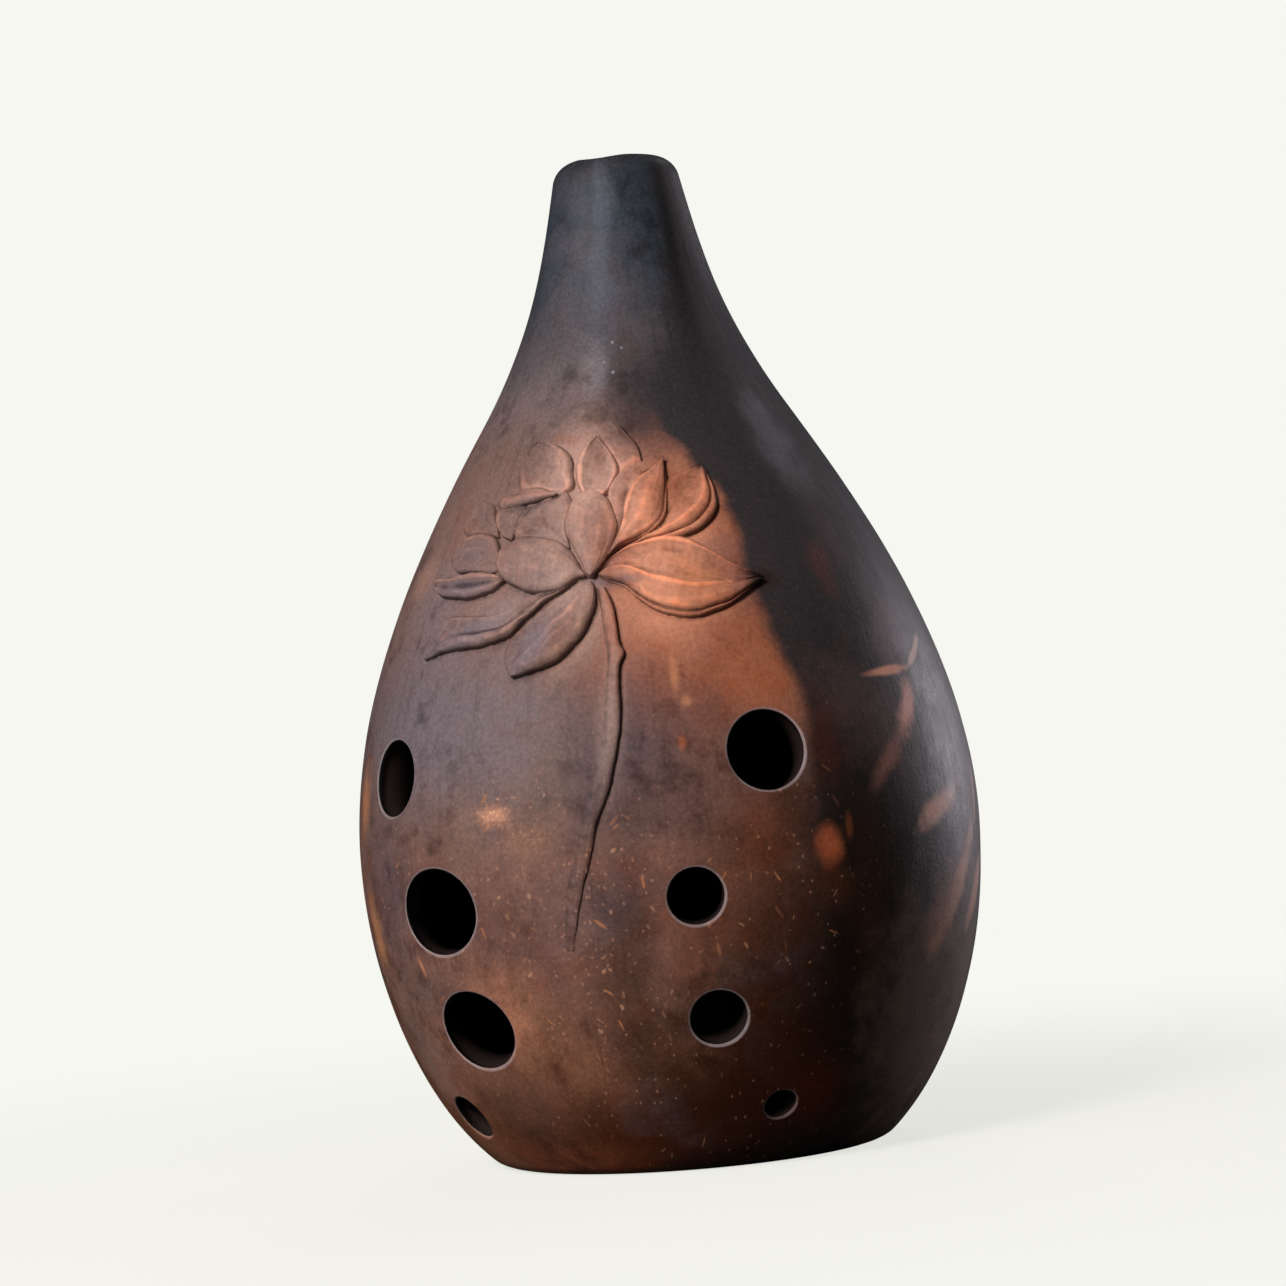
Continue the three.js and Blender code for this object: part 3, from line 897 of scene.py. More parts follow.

        # Painted shade and highlight round the hole: the depth kept for the shader is stretched towards the
        # upper left, so the dark inside colour creeps further up the soft edge there as painted shade, and
        # the pale rim tint is left as a painted highlight on the lower right.
        shade = 1.65 - 0.65 * np.cos(angle + math.pi / 4)
        rows = [outer_loop]
        for share in np.linspace(0, 1, 5)[1:]:
            rows.append(mesh.add_points(spoke(reach + (radius + hole.soften - reach) * share)))
        for bend in np.radians(np.linspace(0, 90, 8)[1:]):
            surface = spoke(np.full(len(angle), radius + hole.soften * (1 - math.sin(bend))))
            sunk = surface + inward * hole.soften * (1 - math.cos(bend))
            rows.append(mesh.add_points(sunk, 2 * bend / math.pi * shade))
        outside_rows = len(rows)
        brink = surface + inward * hole.soften
        end = self._drop(brink + inward * self.wall, inward, *inner_side)
        for share in np.linspace(0, 1, 5)[1:]:
            rows.append(mesh.add_points(brink + (end - brink) * share, 1 + share))
        for share in (0.33, 0.66):
            between = end + (points[inner_loop] - end) * share
            rows.append(mesh.add_points(self._drop(between, -outward, *inner_side), 2.0))
        rows.append(inner_loop)
        for k, (upper, lower) in enumerate(zip(rows, rows[1:])):
            skin = Skin.OUTSIDE if k < outside_rows - 1 else Skin.INSIDE
            mesh.add_faces(hole.piece, skin, upper, np.roll(upper, -1), np.roll(lower, -1), lower)

    def _finish_points(self) -> tuple[np.ndarray, np.ndarray]:
        """Give the outside its handmade unevenness, the carved ground and the blowing edge.

        Returns:
            The points and the relief's painted light and shade at each.
        """
        points = self.mesh.points().copy()
        tone = np.zeros(len(points))
        skin_points = np.zeros(len(points), bool)
        for piece, skin, faces in self.mesh.faces:
            if skin is Skin.OUTSIDE and piece != "mouth_ring":
                skin_points[faces] = True
        reach = np.hypot(points[:, 0], points[:, 1])
        on_surface = reach > self.outline.radius_at(points[:, 2]) - 3 * self.near
        numbers = np.flatnonzero(skin_points & on_surface & (points[:, 2] > self.near))
        x, y, level = points[numbers].T
        azimuth = np.arctan2(x, -y)
        lift, tone[numbers] = self.lotus.ground(azimuth, level)
        around = azimuth * self.long_wave
        wave = handmade(around, level, self.long_wave) + 0.35 * handmade(level, around, self.short_wave)
        share = smoothly(level, *self.calm_foot) * (1 - smoothly(level, *self.calm_neck))
        for hole in self.holes:
            away = np.linalg.norm(points[numbers] - hole.centre(self.outline), axis=1) - hole.half_width()
            share = share * smoothly(away, *self.calm_hole)
        lift = lift - self.unevenness * (0.5 + 0.4 * wave) * share
        points[numbers] = self.outline.place(azimuth, level, lift)
        self._cut_edge(points)
        return points, tone

    def _cut_edge(self, points: np.ndarray) -> None:
        """Lower the mouth's front to a sloped blowing edge.

        Args:
            points: all points, which are moved.
        """
        top, blend = self.outline.height, self.edge_blend
        mouth = points[:, 2] > self.mouth_floor + self.near
        x, y, z = points[mouth].T
        inside = np.maximum(self.blow_radius ** 2 - x ** 2, 0) ** 0.5
        slope = top - self.edge_depth + (-inside - y * math.cos(self.edge_tilt)) / math.sin(self.edge_tilt)
        slope = np.where(np.abs(x) < self.blow_radius, slope, top + 5) + (y > 0) * 50
        radius = np.hypot(x, y)
        floor = np.where(radius > self.blow_radius - self.near, z, top)
        lowered = -blend * np.logaddexp(-floor / blend, -slope / blend)
        drop = floor - np.minimum(lowered, floor)
        share = np.clip((z - self.mouth_floor) / (top - self.edge_soften - self.mouth_floor), 0, 1)
        in_bore = radius < self.blow_radius + self.edge_soften + self.near
        edge_floor = -blend * np.logaddexp(-top / blend, -slope / blend)
        points[mouth, 2] = np.where(in_bore, z - (top - edge_floor) * share, z - drop)


@dataclass(frozen=True)
class Stem:
    """The lotus's stem, with a nub on its right side and a fading foot."""

    node: str = "lotus_stem"
    left: str = (
        "-5.4,-54 -4.9,-50.7 -4.2,-45.7 -2.5,-41.1 -0.8,-35.4 0.9,-29.5 1.9,-26 2.6,-21.5 3,-17.5 3,-12.2 "
        "2.5,-9.1 1.8,-5.4 0.7,-1.2"
    )
    right: str = (
        "-4.2,-54.2 -3.2,-50.8 -1.8,-45.9 -0.1,-41.3 1.4,-35.9 3.4,-31.1 4.6,-26.5 5.3,-20.5 5,-14 5.6,-11.6 "
        "4.9,-10.2 4.4,-8.1 3.6,-4.7 2,-1.3"
    )
    profile: str = "0,0.02 0.25,0.3 0.5,0.48 0.75,0.55 0.92,0.45 1,0.18"
    swell: str = "0,0.02 0.12,0.4 0.35,0.8 0.7,1.1 0.9,1.25 1,0.9"
    neutral: float = 1.9
    strokes: tuple[Stroke, ...] = (Stroke("2.6,-5 3.4,-12 3.9,-20 2.6,-29", -0.1, 0.4, 0.9),)

    def sides(self, count: int) -> Arrays:
        """The left and the right side, each as count places from the foot up."""
        return curve_through(self.left, count), curve_through(self.right, count)

    def grooves(self) -> tuple[Stroke, ...]:
        """Cut beside the stem: deep and sharp on its right, shallow on its left.

        Returns:
            The strokes.
        """
        return (
            Stroke(self.right, -0.34, 0.9, 0.3, fade=0.9, fade_out=0.05),
            Stroke(self.right, -0.1, 0.9, 1.4, fade=0.6, fade_out=0.1),
            Stroke(self.left, -0.06, 0.6, 0.8, fade=0.8, fade_out=0.2),
        )

    def own_height(self, along: np.ndarray, across: np.ndarray) -> np.ndarray:
        """Height over the ground by the shares along and across the stem."""
        return eased(across, self.profile) * eased(along, self.swell)


PUFFED = "0,0.35 0.05,0.75 0.14,1.1 0.3,1.4 0.5,1.5 0.72,1.4 0.88,1.05 0.96,0.68 1,0.3"
DISHED = "0,0.05 0.06,0.6 0.12,0.72 0.24,0.36 0.5,0.2 0.76,0.36 0.88,0.74 0.94,0.6 1,0.05"


PETALS = (
    Petal("centre_oval_petal", "0.1,-0.1", "-1.1,12.9",
        left="-0.9,0.5 -2.1,2.8 -3.6,5.1 -4.9,7.4 -5,9.6 -4.2,11.6 -2.6,12.7",
        right="0.9,0.9 1.9,2.4 2.8,4.7 3.1,7.1 2.4,9.6 0.9,11.8",
        swell="0,0.75 0.2,0.9 0.6,1 0.88,0.95 1,0.6",
        profile=PUFFED, groove=0.5, groove_width=0.75,
        strokes=(Stroke("0.9,2.4 1.9,5 1.7,8 0.2,10.8", -0.16, 0.9, 0.3),
                 Stroke("0.3,2.6 1,5.2 0.8,8", 0.14, 0.8, 0.8))),
    Petal("left_oval_petal", "-0.8,0.2", "-16.2,3.2",
        left="-2.1,0 -3.7,-0.9 -5.9,-1.6 -9.3,-1.4 -13.1,0 -14.9,1.3",
        right="-1.7,1.4 -2.6,2.9 -4.4,5 -7,6.2 -9.9,6.9 -12.7,6.8 -15.1,5.7",
        swell="0,0.65 0.2,0.95 0.5,1 0.85,0.95 1,0.55",
        profile=PUFFED, groove=0.5, groove_width=0.75,
        strokes=(Stroke("-13.6,1.4 -9.6,0.1 -5.6,0 -2.6,0.9", -0.12, 1.1, 0.5),)),
    Petal("right_large_petal", "0.9,0.2", "26.2,-2.1",
        left="1.9,2.2 3.9,3.5 7.1,4.8 10.6,5.3 13.8,4.6 16.8,3 19.7,1 22.4,-0.6",
        right="2.5,-0.7 5.2,-2 7.5,-4 10.8,-6 15.5,-7 20.5,-5.7 24.4,-3.3",
        profile="0,0.25 0.03,0.78 0.055,0.95 0.09,0.6 0.2,0.3 0.36,0.38 0.45,0.72 0.5,1.38 0.54,1.16 "
                "0.66,1.2 0.8,1.05 0.875,0.7 0.905,0.15 0.935,0.34 0.965,0.6 1,0.25",
        ridge="0,0.4 0.2,0.5 0.35,0.6 0.5,0.61 0.65,0.58 0.82,0.5 1,0.5",
        swell="0,0.6 0.15,0.8 0.4,1 0.8,0.95 0.93,1.05 1,0.55",
        groove=0.4, groove_width=0.65,
        strokes=(Stroke("2,-0.3 5.3,-1.7 8.2,-3.5", -0.4, 0.45, 0.5, fade=0.2),
                 Stroke("8.6,3.4 8.2,1.8 9.8,0.4 13.4,0", 0.12, 0.4, 0.7),
                 Stroke("3.2,1.7 7.5,2.9 12,3.2 17,1.4", -0.12, 0.9, 0.9),
                 Stroke("6,-1.3 10,-3.4 15.4,-4 21,-3.2", -0.12, 1.0, 0.5))),
    Petal("lower_left_petal", "-0.3,-0.3", "-11.9,-13.7",
        left="0.6,-1.6 0.8,-4.5 -0.3,-7.3 -2,-9.7 -4.2,-11.6 -7.3,-12.8",
        right="-1.8,-0.9 -3.6,-1.9 -6.8,-4 -9.8,-6 -12.3,-8.2 -13.1,-10.9",
        profile="0,0.35 0.06,0.9 0.16,1.2 0.3,1.3 0.42,1.2 0.5,1.15 0.56,0.85 0.68,0.62 0.82,0.62 0.93,0.68 "
                "1,0.25",
        ridge="0,0.5 0.25,0.55 0.5,0.56 0.75,0.5 1,0.5",
        groove=0.5, groove_width=0.7,
        strokes=(Stroke("-1.2,-3.4 -3.2,-5.4 -6.4,-6.8 -9.6,-8.6", 0.22, 0.35, 0.8),
                 Stroke("-0.4,-2.6 -1.6,-6.2 -4.4,-9.3 -8.4,-11.6", -0.1, 0.6, 0.6))),
    Petal("long_left_petal", "-3.2,-0.9", "-30.3,-9.9",
        left="-4.7,-1.8 -7.5,-3.5 -10.1,-5.5 -12.4,-7.5 -16,-8.5 -20,-8.8 -25.2,-9",
        right="-5.6,-1.1 -8.1,-1.6 -10.1,-2.4 -12.9,-3.6 -16.4,-4.2 -20.7,-4 -25.3,-3.9 -26.6,-5.9",
        profile="0,0.2 0.05,0.65 0.14,0.95 0.3,0.8 0.42,0.62 0.5,0.85 0.6,0.6 0.75,0.5 0.87,0.66 0.95,0.5 "
                "1,0.12",
        swell="0,0.9 0.2,1 0.6,0.95 0.85,0.75 1,0.3",
        groove=0.36, groove_width=0.7,
        strokes=(Stroke("-6,-2 -11,-5 -17,-6.6 -25,-6.6", -0.3, 0.35, 0.7),
                 Stroke("-8,-2.4 -13.5,-4.8 -20,-5.4 -24.6,-5", 0.18, 0.5, 0.5),
                 Stroke("-9,-3.8 -14,-6.9 -21,-7.5 -27,-8", 0.2, 0.5, 0.6))),
    Petal("upper_right_petal", "0.6,0.7", "8.7,17.2",
        left="1.6,3 2.2,6 1.9,9.3 1.1,12.7 2,15 3.7,16.4 6.1,17",
        right="1.6,1.9 3.6,4 5.9,4.9 8.1,5.8 9.6,7.3 10.2,9.3 9.8,13",
        profile="0,0.15 0.06,0.5 0.2,0.46 0.38,0.34 0.46,0.55 0.5,1.15 0.55,1.1 0.72,1.42 0.86,1.3 "
                "0.925,0.95 0.95,0.45 0.975,0.6 1,0.3",
        ridge="0,0.5 0.3,0.42 0.5,0.36 0.7,0.38 0.88,0.5 1,0.5",
        groove=0.5, groove_width=0.7,
        strokes=(Stroke("2.6,3.4 3,7 2.6,11 3.4,14.4", 0.14, 0.7, 0.7),
                 Stroke("3.6,4.6 4.1,7.6 4.1,10.4 4.4,13 5.4,15.2 7.2,16.6", 0.2, 0.25, 0.6),
                 Stroke("4.4,6.4 6.8,9 7.6,12.6 7.6,15.4", 0.12, 1.0, 1.0),
                 Stroke("5,5.6 7.8,7.2 9.2,9.6 9.2,13.2", -0.2, 0.7, 0.3))),
    Petal("far_right_petal", "4.2,3.4", "14.7,15.7",
        left="5.8,6 7.6,9 8.6,12 9.8,13.9 11.8,14.8",
        right="7.1,4.5 11.2,4.9 13.8,5.3 16.2,6.5 17.7,8.4 17.6,10.7 16.4,13.2",
        profile="0,0.2 0.06,0.6 0.14,0.5 0.3,0.34 0.42,0.6 0.5,1.15 0.58,1.05 0.68,0.9 0.76,0.42 0.83,0.78 "
                "0.93,0.66 1,0.25",
        ridge="0,0.55 0.3,0.62 0.5,0.66 0.75,0.7 1,0.6",
        groove=0.4, groove_width=0.65,
        strokes=(Stroke("9.2,8.2 11.2,10.4 12.4,13.4", -0.14, 0.9, 0.9),)),
    Petal("curled_inner_petal", "-6.6,13", "-17.8,12.4",
        left="-8.6,12.4 -11,11.9 -13.6,11.5 -16,11.4",
        right="-7.9,13.5 -9.4,14.2 -12.1,14.5 -14.3,14 -16.6,13.4",
        profile="0,0.4 0.1,0.85 0.3,1.1 0.5,1.15 0.7,0.95 0.9,0.5 1,0.12",
        groove=0.42, groove_width=0.55,
        strokes=(Stroke("-9,13.3 -12.4,13.4 -15.6,12.8", -0.16, 0.4, 0.4),)),
    Petal("small_inner_petal", "-14,6.8", "-11.2,11.6",
        left="-15.8,7.6 -17.1,9.3 -17.6,11 -16.6,12 -13.6,11.9",
        right="-13.6,8 -13.1,9.2 -12.4,10.4",
        profile="0,0.3 0.1,0.75 0.3,0.85 0.5,0.7 0.8,0.45 1,0.2",
        groove=0.4, groove_width=0.55,
        strokes=(Stroke("-15,8.4 -15.8,9.8 -15.4,11.2", -0.2, 0.4, 0.7),)),
    Petal("left_curled_petal", "-14.2,0.9", "-30.1,1.1",
        left="-15.6,-0.1 -17.7,-0.9 -21.1,-1.3 -24.8,-1 -28.2,-0.2",
        right="-16.2,1.9 -20.3,2.7 -24.8,2.4 -28.6,2.2",
        profile="0,0.3 0.1,0.72 0.24,0.8 0.4,0.55 0.5,0.42 0.62,0.6 0.8,0.92 0.92,0.6 1,0.12",
        swell="0,0.9 0.4,1 0.8,0.8 0.92,1.1 1,0.45",
        groove=0.4, groove_width=0.6,
        strokes=(Stroke("-17,0.6 -21,0.6 -25.6,0.7", -0.22, 0.6, 0.6),)),
    Petal("left_middle_petal", "-15.4,2.6", "-26.9,4.6",
        left="-17.5,2.2 -21,2.6 -24.6,3",
        right="-16,5.6 -16.9,7.3 -18.6,8.1 -21,8.5 -23.4,8.1 -25.4,6.9",
        profile="0,0.3 0.1,0.5 0.3,0.45 0.5,0.66 0.7,0.62 0.86,0.75 0.95,0.55 1,0.12",
        groove=0.3, groove_width=0.6,
        strokes=(Stroke("-17.6,4.6 -20.6,5.6 -24,5", -0.22, 0.7, 0.35),
                 Stroke("-18.4,6.8 -21.4,7 -24.2,6.4", -0.12, 0.5, 0.5))),
    Petal("inner_back_petal", "-3.8,4.6", "-8,13.8",
        left="-8,6.4 -12.6,7 -14.3,9.2 -11.6,12.2",
        right="-4.6,8 -4.2,10.6 -5.4,13.2",
        profile="0,0.25 0.1,0.5 0.35,0.42 0.5,0.5 0.75,0.36 0.92,0.5 1,0.2",
        groove=0.25, groove_width=0.6,
        strokes=(Stroke("-6.4,7.4 -8.4,9.2 -8.8,12", -0.25, 0.5, 0.8),
                 Stroke("-8.8,7.2 -11.4,8.6 -11.8,11", -0.18, 0.5, 0.7))),
    Petal("left_back_petal", "-16.4,7.4", "-25.9,12.6",
        left="-20,8.2 -23.8,8.4 -25.1,10.2",
        right="-17.6,10.6 -18.6,12.4 -20.9,13.4 -23.4,12.4",
        profile="0,0.25 0.1,0.55 0.3,0.4 0.5,0.3 0.75,0.4 0.92,0.4 1,0.08",
        groove=0.25, groove_width=0.6,
        strokes=(Stroke("-18.4,9.2 -21.4,9.6 -23.8,10.8", -0.14, 0.7, 0.5),)),
    Petal("back_centre_petal", "-1.2,11.2", "-1.8,21.5",
        left="-3.2,13.2 -4.2,15.4 -4.5,17.5 -3.4,19.6",
        right="1.8,13.2 2.4,16 1.4,18 -0.2,19.8",
        profile=DISHED, groove=0.3, groove_width=0.5, lit_share=0.1,
        strokes=(Stroke("-2.2,20.2 -3,18 -3.2,16 -2.4,13.8", 0.2, 0.35, 0.7),
                 Stroke("-0.9,19.4 -0.9,16.4 -0.7,13.6", 0.1, 0.9, 0.9))),
    Petal("upper_left_petal", "-8,12.4", "-11.6,21.5",
        left="-12.6,13.4 -14.3,15.8 -14.4,18 -13.6,19.9",
        right="-4.6,13.8 -4.9,16.2 -5.1,17.9 -6.2,19.5 -8.2,20.7",
        profile=DISHED, groove=0.3, groove_width=0.5, lit_share=0.1,
        strokes=(Stroke("-10.6,20.6 -8.2,19 -6.9,17 -6.8,14.8", 0.22, 0.35, 0.8),
                 Stroke("-12.6,15.4 -12.8,17.6 -11.8,19.6", 0.1, 0.6, 0.9))),
    Petal("back_folded_petal", "2.6,14.4", "-1.1,24",
        left="0.9,17 -0.3,19.6 -1.6,21.9",
        right="5.7,15.2 5.5,17 4.5,19.4 2.8,21.4 0.8,23.3",
        profile="0,0.12 0.12,0.4 0.35,0.3 0.6,0.36 0.8,0.62 0.88,0.42 0.94,0.52 1,0.15",
        groove=0.34, groove_width=0.6,
        strokes=(Stroke("0.4,22.4 2.1,21.2 3.5,19.2 4.3,17", -0.22, 0.3, 0.7),)),
)


@dataclass(frozen=True)
class Lotus:
    """The relief: petals and stem over a ground that is cut back round them."""

    outline: Outline
    heart_level: float = 88.6
    heart_across: float = 5.3
    petals: tuple[Petal, ...] = PETALS
    stem: Stem = Stem()
    grain: float = 0.27
    sunk: float = 1.5
    unevenness: float = 0.1
    comb_depth: float = 0.024
    waver: float = 0.1
    low_corner: Point = (-36.0, -60.0)
    high_corner: Point = (33.0, 29.0)
    widest_turn: float = 1.4
    sharp_turn: float = math.radians(62)

    def flat(self, azimuth: np.ndarray, level: np.ndarray) -> np.ndarray:
        """Places across and up from the heart, for angles and heights on the body."""
        across = azimuth * self.outline.radius_at(level) - self.heart_across
        return np.stack([across, level - self.heart_level], axis=-1)

    def place(self, spots: np.ndarray, lift: np.ndarray) -> np.ndarray:
        """Places in space for flat places and their lift."""
        level = self.heart_level + spots[..., 1]
        return self.outline.place(
            (self.heart_across + spots[..., 0]) / self.outline.radius_at(level), level, lift)

    def ground(self, azimuth: np.ndarray, level: np.ndarray) -> Arrays:
        """Find how the ground is cut.

        Args:
            azimuth: angles of places on the body, in radians.
            level: their heights.

        Returns:
            The lift of the ground, never outwards, and its painted shade in the cuts.
        """
        lift, tone = np.zeros(len(level)), np.zeros(len(level))
        spots = self.flat(azimuth, level)
        in_reach = ((spots > self.low_corner) & (spots < self.high_corner)).all(1)
        near = np.flatnonzero(in_reach & (np.abs(azimuth) < self.widest_turn))
        here = spots[near]
        beside, under = self._cut(here, self.petals)
        lines = sum(-s.lift(here) for s in self.stem.grooves())
        lift[near] = -beside - under - lines
        # Painted shade: the cuts beside the petals and the grooves along the stem are darkened.
        tone[near] = -1.15 * beside - 1.8 * lines
        return lift, tone

    def _cut(self, spots: np.ndarray, petals: tuple[Petal, ...]) -> Arrays:
        """Find the deepest cut that petals make.

        Args:
            spots: flat places behind them.
            petals: the petals.

        Returns:
            The cut beside them and the cut under them.
        """
        beside, under = np.zeros(len(spots)), np.zeros(len(spots))
        for petal in petals:
            side, below = petal.carve(spots)
            beside, under = np.maximum(beside, side), np.maximum(under, below)
        return beside, under

    def relief_piece(self, shape: "Petal | Stem", front: tuple[Petal, ...]) -> bpy.types.Mesh:
        """Make the closed mesh of a petal or of the stem.

        Args:
            shape: what is made.
            front: the petals that lie over it.

        Returns:
            The mesh, in metres.
        """
        probe_left, probe_right = shape.sides(60)
        length = np.hypot(*np.diff((probe_left + probe_right) / 2, axis=0).T).sum()
        width = np.hypot(*(probe_left - probe_right).T).max()
        rows, columns = max(12, round(length / self.grain)), max(8, round(width / self.grain))
        along, pick = 0.008 + 0.984 * np.linspace(0, 1, rows), np.linspace(0, 1, 801)
        edges = (np.stack([np.interp(along, pick, run) for run in side.T], axis=1)
                 for side in shape.sides(len(pick)))
        left, right = self._by_hand(*edges)
        even = np.linspace(0, 1, columns)
        across = 0.55 * even + 0.45 * (0.5 - 0.5 * np.cos(math.pi * even))
        spots = left[:, None] + (right - left)[:, None] * across[None, :, None]
        flat = spots.reshape(-1, 2)
        own = shape.own_height(np.repeat(along, columns), np.tile(across, rows))
        strokes = sum((s.lift(flat) for s in shape.strokes), np.zeros(len(flat)))
        beside, under = self._cut(flat, front)
        rough = (self.unevenness * handmade(flat[:, 0], flat[:, 1], 4.6)
                 + 0.045 * handmade(flat[:, 1], flat[:, 0], 1.9))
        rough = rough + self._combing(rows, columns, length, width)
        lift = (own + strokes - 0.8 * beside - 1.3 * under + rough).reshape(rows, columns)
        # Painted light and shade: raised parts and crests lighter, hollows and clay sunk under front petals
        # darker, and each edge lit or shaded by the way it faces.
        crest = lift - softened(softened(lift, 3).T, 3).T
        full = np.repeat(smoothly(eased(along, shape.swell), 0.35, 0.95), columns)
        edge = self._painted_edge_shade(left, right, across, width) * full
        tone = 0.22 * (lift.reshape(-1) - shape.neutral) + 3.0 * crest.reshape(-1) - 0.9 * beside + edge
        top = self.place(spots, lift)
        foot = self.place(spots, np.full((rows, columns), -self.sunk))
        return self._closed(shape.node, top, foot, tone)

    def _by_hand(self, left: np.ndarray, right: np.ndarray) -> Arrays:
        """Let the two edges waver a little, as a modelling tool leaves them.

        Args:
            left: places on the left edge.
            right: places on the right edge.

        Returns:
            The two edges.
        """
        gap = np.hypot(*(left - right).T)[:, None]
        outward = (left - right) / np.maximum(gap, 1e-6) * self.waver * np.clip(gap / 2.5, 0, 1)
        wobble = [handmade(side[:, 0], side[:, 1], 5.3)[:, None] for side in (left, right)]
        return left + outward * wobble[0], right - outward * wobble[1]

    def _painted_edge_shade(self, left: np.ndarray, right: np.ndarray, across: np.ndarray, width: float) -> np.ndarray:
        """Paint shade on a petal's edges that turn from the light, and a little painted light on the others.

        Args:
            left: places on the left edge.
            right: places on the right edge, one for each on the left.
            across: shares across the petal.
            width: the petal's width.

        Returns:
            The painted light and shade at each place, row by row.
        """
        outward = (left - right) / np.maximum(np.hypot(*(left - right).T), 1e-6)[:, None]
        facing = outward @ SHADED_WAY
        total = np.zeros((len(left), len(across)))
        for turn, away in ((facing, across), (-facing, 1 - across)):
            shade = -0.42 * smoothly(turn, 0.0, 0.8) + 0.14 * smoothly(-turn, 0.0, 0.8)
            total += shade[:, None] * np.exp(-(away * width / 0.65) ** 2)[None]
        return total.reshape(-1)

    def _combing(self, rows: int, columns: int, length: float, width: float) -> np.ndarray:
        """Draw fine lengthwise marks of the modelling tool.

        Args:
            rows: the grid's rows.
            columns: its columns.
            length: the petal's length.
            width: the petal's width.

        Returns:
            The marks' height at each place, row by row.
        """
        along = np.repeat(np.linspace(0, length, rows), columns)
        across = np.tile(np.linspace(0, width, columns), rows)
        wander = 0.9 * np.sin(along / 3.1 + 1.3) + 0.5 * np.sin(along / 1.7)
        fine = (np.sin(2 * math.pi * across / 0.95 + wander)
                + 0.6 * np.sin(2 * math.pi * across / 1.6 - wander * 1.4))
        return self.comb_depth * fine * (0.6 + 0.4 * np.sin(along / 2.3 + across))

    def _closed(self, name: str, top: np.ndarray, foot: np.ndarray, tone: np.ndarray) -> bpy.types.Mesh:
        """Join a top grid, the same grid underneath and the four sides.

        Args:
            name: the mesh's name.
            top: the grid on top.
            foot: the grid underneath.
            tone: the painted light and shade on top.

        Returns:
            The mesh.
        """
        mesh = ClayMesh()
        a, b = mesh.add_points(top), mesh.add_points(foot)
        middle_row, middle_column = top[len(top) // 2], top[:, top.shape[1] // 2]
        way = np.cross(middle_row[-1] - middle_row[0], middle_column[-1] - middle_column[0])
        facing = way[:2] @ middle_row[top.shape[1] // 2, :2] > 0
        loop_a, loop_b = (np.concatenate([g[0, :-1], g[:-1, -1], g[-1, :0:-1], g[:0:-1, 0]]) for g in (a, b))
        sheets = [
            (a[:-1, :-1], a[:-1, 1:], a[1:, 1:], a[1:, :-1]),
            (b[:-1, :-1], b[1:, :-1], b[1:, 1:], b[:-1, 1:]),
            (loop_b, np.roll(loop_b, -1), np.roll(loop_a, -1), loop_a),
        ]
        for sheet in sheets:
            mesh.add_faces(name, Skin.OUTSIDE, *(sheet if facing else sheet[::-1]))
        made = smooth_mesh(name, mesh.points(), [f for _, _, quads in mesh.faces for f in quads.tolist()])
        made.set_sharp_from_angle(angle=self.sharp_turn)
        write_value(made, RELIEF_SHADING, np.concatenate([tone, tone - 0.4]))
        made.update()
        return made


class Wire:
    """One socket's value in a shader, with arithmetic."""

    def __init__(self, shader: "Shader", socket: bpy.types.NodeSocket) -> None:
        """Wrap an output socket of a shader."""
        self.shader = shader
        self.socket = socket

    def _math(self, operation: str, first: "Wire | float", second: "Wire | float") -> "Wire":
        """One Math node."""
        return self.shader.node("ShaderNodeMath", {"operation": operation}, {0: first, 1: second})

    def __add__(self, other: "Wire | float") -> "Wire":
        """Sum."""
        return self._math("ADD", self, other)

    def __radd__(self, other: float) -> "Wire":
        """Sum with a number first."""
        return self._math("ADD", other, self)

    def __sub__(self, other: "Wire | float") -> "Wire":
        """Difference."""
        return self._math("SUBTRACT", self, other)

    def __rsub__(self, other: float) -> "Wire":
        """Difference from a number."""
        return self._math("SUBTRACT", other, self)

    def __mul__(self, other: "Wire | float") -> "Wire":
        """Product."""
        return self._math("MULTIPLY", self, other)

    def __rmul__(self, other: float) -> "Wire":
        """Product with a number first."""
        return self._math("MULTIPLY", other, self)

    def rise(self, low: float, high: float) -> "Wire":
        """Smooth rise from 0 at low to 1 at high; low may be the larger."""
        settings = {"interpolation_type": "SMOOTHSTEP"}
        return self.shader.node(
            "ShaderNodeMapRange", settings, {"Value": self, "From Min": low, "From Max": high})


